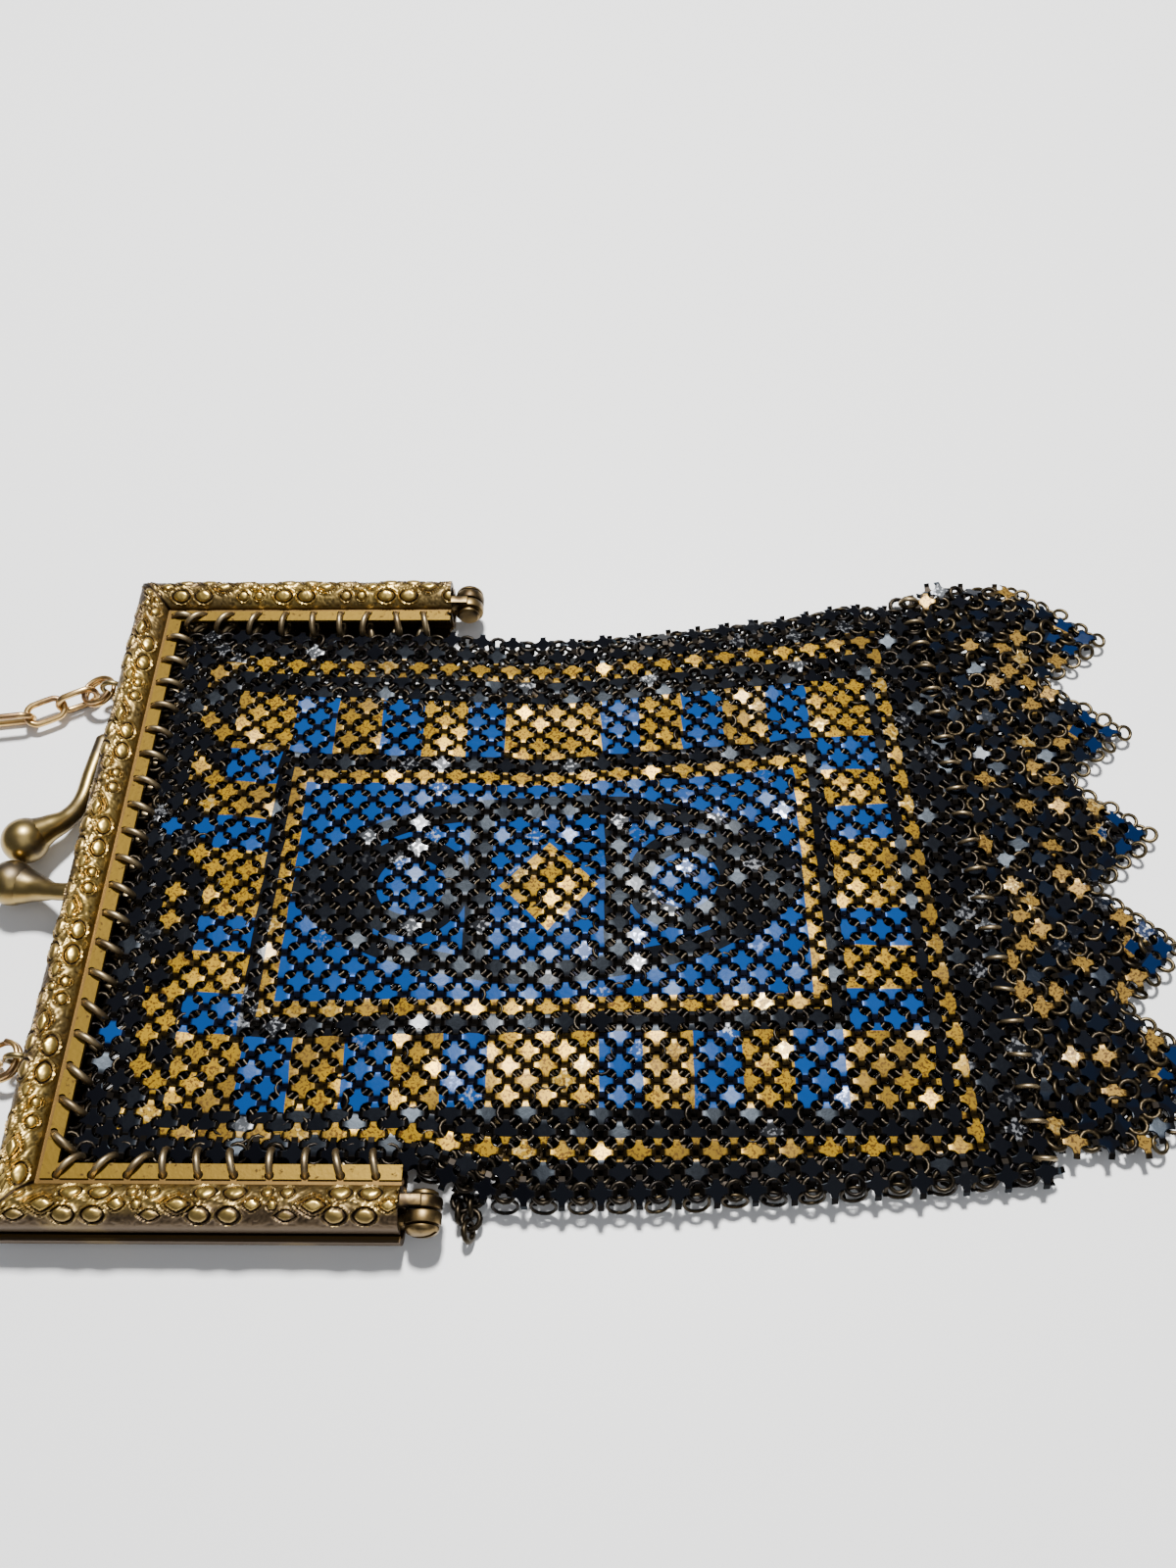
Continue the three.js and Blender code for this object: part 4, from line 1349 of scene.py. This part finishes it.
def rings_on_edge(name, shape, spots, leans, seed):
    """Rings that stand upright along the bag, leant over by an angle in degrees, each a little askew."""
    draw = np.random.default_rng(seed)
    headings = np.radians(draw.normal(0, 5, len(spots)))
    leans = np.radians(np.asarray(leans) + draw.normal(0, 4, len(spots)))
    zeros = np.zeros(len(spots))
    ways = np.stack([np.cos(headings), np.sin(headings), zeros], 1)
    flats = np.stack([-np.sin(headings), np.cos(headings), zeros], 1)
    ups = flats * np.cos(leans)[:, None] + np.array([0, 0, 1.0]) * np.sin(leans)[:, None]
    return spread(name, shape, np.asarray(spots), ways, ups, draw.random(len(spots)))


seam_spots = []
for j in np.arange(-1.5, 18.6, 1.0):
    seam_spots.append((*hem_place(0.0, j), seam_height - seam_fall * abs(j - 8.5)))
seam_rings = rings_on_edge("seam_rings", seam_ring, seam_spots, seam_lean, 31)
side_spots = []
for i in range(columns):
    for side in (-1, 1):
        x, _, near, far = bag_place((i + 0.5) * plate_pitch, side * flat_half)
        side_spots.append((x, far + far_inward if side > 0 else near + near_inward, side_height))

# %% Rings of broken mesh by the near hinge, each with its place, way, up and tone
loose = [
    ((63.3, -48.6, 1.5), (0.1, 1.0, 0.0), (0.2, 0.0, 1.0), 0.2),
    ((63.1, -50.1, 1.75), (0.0, 1.0, 0.1), (1.0, 0.0, 0.2), 0.5),
    ((62.9, -51.7, 1.45), (-0.1, 1.0, 0.0), (-0.2, 0.0, 1.0), 0.3),
    ((62.7, -53.3, 1.75), (0.1, 1.0, 0.0), (1.0, 0.0, 0.4), 0.6),
    ((61.6, -49.4, 1.5), (0.0, 1.0, 0.0), (0.3, 0.1, 1.0), 0.1),
    ((61.4, -50.9, 1.75), (0.2, 1.0, 0.0), (1.0, 0.0, 0.1), 0.4),
]
loose_links = spread("loose_links", hem_ring, *[np.array(column) for column in zip(*loose)])
side_rings = rings_on_edge("side_rings", side_ring, side_spots, [near_lean, far_lean] * columns, 32)

# %% [markdown]
# ## Enamel
# The picture on the bag is stencilled right across the plates, so its colours are a function of the flat
# place on the unfolded mesh. A border of gold and blue blocks between black bands and thin gold lines
# goes round a blue panel, and black leaf shapes with blue eyes fill the panel. Each shape is a mask made
# of comparisons, and the masks are laid one over another. The first rows at the mouth are black, with a
# few stray painted plates. Gold paint is finely speckled, and worn plates show grey metal.

# %% Pattern masks
picture_middle = 63.6
leaf_reach, leaf_width, eye_place = 38.5, 17.5, 20.5
border_side = 25.8
# Each frame of the border starts outside its half length and half width.
borders = [
    (38.4, 20.0, "gold"), (40.7, 22.6, "black"), (43.1, border_side, "blocks"),
    (53.3, block_reach, "black"), (55.2, 41.5, "gold"), (57.5, 44.2, "black"),
]
mouth_rows, mouth_gold, mouth_side = 12.0, 6.3, 43.0
gold_share, blue_share, hem_gold_share = 0.60, 0.07, 0.68


def between(value, low, high):
    return (value > low) * (value < high)


def speckled(finish, light, dark):
    return finish.mix(finish.noise(2600.0, 2.0).ramp(0.50, 0.60), light, dark)


def lot_of(finish):
    """A second random number from 0 to 1 for each plate, drawn from its tone."""
    return (finish.attribute("tone") * 7.0).fraction()


def bag_picture(finish, u, v, flat):
    """Colour and gold mask of the stencilled picture at a flat place in mm."""
    wobble = (finish.noise(90.0, 2.0) - 0.5) * 0.9
    du = u - picture_middle + wobble
    p, q = abs(du), abs(v + wobble * 0.6)
    blue, black = (0.0005, 0.034, 0.150), (0.0025, 0.0027, 0.004)
    gold = speckled(finish, (0.28, 0.162, 0.010), (0.085, 0.04, 0.007))
    faded = finish.noise(85.0, 2.0).ramp(0.46, 0.66) * 0.6
    gold = finish.mix(faded, gold, (0.10, 0.062, 0.018))

    ends = (p < 7.75) + between(p, 14.0, 21.0) + between(p, 27.75, 35.0) + (p > 42.0)
    sides = (q < 6.0) + between(q, 12.2, 19.2)
    blocks = ((q > border_side) * ends).most((q < border_side) * sides)
    leaf_edge = (1 - (du / leaf_reach) ** 2).most(0.0) ** 0.6 * leaf_width
    reach = ((p - eye_place) ** 2 + q * q) ** 0.5
    dark = (q > leaf_edge - 3.9).most(p > 25.5).most(between(p, 8.4, 12.2)).most(reach < 9.1)
    dark = dark * (q < leaf_edge) * (reach > 5.2)
    lozenge = (p / 7.3 + q / 8.0) < 1.0

    colour = finish.mix(dark, blue, black)
    colour = finish.mix(lozenge, colour, gold)
    gilded = lozenge
    for half_length, half_side, layer in borders:
        outside = 1 - (p < half_length) * (q < half_side)
        if layer == "blocks":
            band, golden = finish.mix(blocks, blue, gold), outside * blocks
        else:
            band, golden = (gold, outside) if layer == "gold" else (black, 0.0)
        gilded = gilded * (1 - outside) + golden
        colour = finish.mix(outside, colour, band)
    lot = lot_of(finish)
    at_mouth = u < mouth_rows
    stray_gold = at_mouth * (u > mouth_gold) * (lot > gold_share) * (q < mouth_side)
    colour = finish.mix(at_mouth, colour, black)
    colour = finish.mix(at_mouth * (lot < blue_share), colour, blue)
    colour = finish.mix(stray_gold, colour, gold)
    return colour, (gilded * (1 - at_mouth)).most(stray_gold)


def hem_picture(finish, u, v, flat):
    """Black hem plates with brown-gold patches, and a small blue lozenge near the end of each point."""
    black, navy = (0.003, 0.0033, 0.005), (0.0025, 0.0042, 0.009)
    gold = speckled(finish, (0.21, 0.125, 0.026), (0.06, 0.032, 0.010))
    golden = lot_of(finish) > hem_gold_share
    point_pitch = tip_cells * row_pitch
    from_point = abs((v / point_pitch + 0.5).fraction() - 0.5) * point_pitch
    from_middle = abs(u - (hem_start + 4.75 * plate_pitch))
    blue = (from_point / 5.0 + from_middle / 4.6) < 1.0
    colour = finish.mix(finish.noise(19.0, 1.0, flat).ramp(0.48, 0.54), black, navy)
    colour = finish.mix(golden, colour, gold)
    return finish.mix(blue, colour, (0.0016, 0.010, 0.042)), golden * (1 - blue)


# %% [markdown]
# Both pictures are finished the same way: worn plates show metal, the most glossy ones shine, and the arms
# and undersides are painted near black, partly as bare metal and partly as painted shade. The rings are
# browned wire whose colour runs from dark to light with each ring's own tone.

# %% Enamel and wire finishes
def enamel_over(name, picture):
    finish = Finish(name)
    tone, bare_arm_and_shade = finish.attribute("tone"), finish.attribute("bare_arm_and_shade")
    flat = finish.node("ShaderNodeUVMap", {"uv_map": "flat"})
    u, v = [finish.node("ShaderNodeSeparateXYZ", {}, {"Vector": flat}, axis) * flat_unit for axis in (0, 1)]
    colour, gilded = picture(finish, u, v, flat)
    crackle = finish.noise(1500.0, 3.0)
    worn = crackle.ramp(0.50, 0.64) * tone.ramp(0.88, 0.99) * 0.7
    metal = finish.mix(gilded, (0.30, 0.31, 0.33), (0.62, 0.45, 0.16))
    finish.set(
        # Arms and undersides are painted near black: bare metal, and painted shade under the rings and
        # beneath the plates.
        base_color=finish.mix(bare_arm_and_shade * 0.95, finish.mix(worn, colour, metal), (0.010, 0.008, 0.006)),
        metallic=(worn * 0.8).most(bare_arm_and_shade * 0.9).most(gilded * 0.2),
        roughness=0.21 + crackle * 0.08 + bare_arm_and_shade * 0.15,
        coat_weight=(tone.ramp(0.82, 0.99) * 0.24) * (1 - bare_arm_and_shade),
        coat_roughness=0.2,
        # The blue specular tint is a painted reflection: it colours the enamel's glints like a pale sky.
        specular_tint=(0.70, 0.84, 1.0),
    )
    finish.shader.inputs["Specular IOR Level"].default_value = 0.055
    finish.bump(crackle, 0.2, 0.00004)
    return finish


def wire_finish(name, dark, light):
    finish = Finish(name)
    finish.set(
        base_color=finish.mix(finish.attribute("tone"), dark, light),
        metallic=1.0,
        roughness=0.31 + finish.noise(900.0, 2.0) * 0.15,
    )
    return finish


bag_enamel = enamel_over("stencilled enamel", bag_picture)
hem_enamel = enamel_over("hem enamel", hem_picture)
black_wire = wire_finish("black ring wire", (0.010, 0.009, 0.009), (0.030, 0.024, 0.016))
dark_wire = wire_finish("dark ring wire", (0.014, 0.012, 0.010), (0.050, 0.037, 0.020))
brown_wire = wire_finish("brown loop wire", (0.045, 0.034, 0.019), (0.105, 0.08, 0.042))
for piece, finish, *nodes in (
    (front_plates, bag_enamel, "mesh_front"), (back_plates, bag_enamel, "mesh_back"),
    (hem_top[0], hem_enamel, "mesh_hem"), (hem_under[0], hem_enamel),
    (front_rings, black_wire), (back_rings, black_wire), (hem_rings, dark_wire), (side_rings, dark_wire),
    (loose_links, dark_wire), (seam_rings, bronze), (hem_loops, brown_wire),
):
    smooth(piece, 12 if finish in (bag_enamel, hem_enamel) else 80)
    finished(paint(piece, finish), "enamel_mesh", *nodes)
discard(front_plate, plain_plate, small_ring, coarse_ring, hem_ring, edge_ring, seam_ring, side_ring)
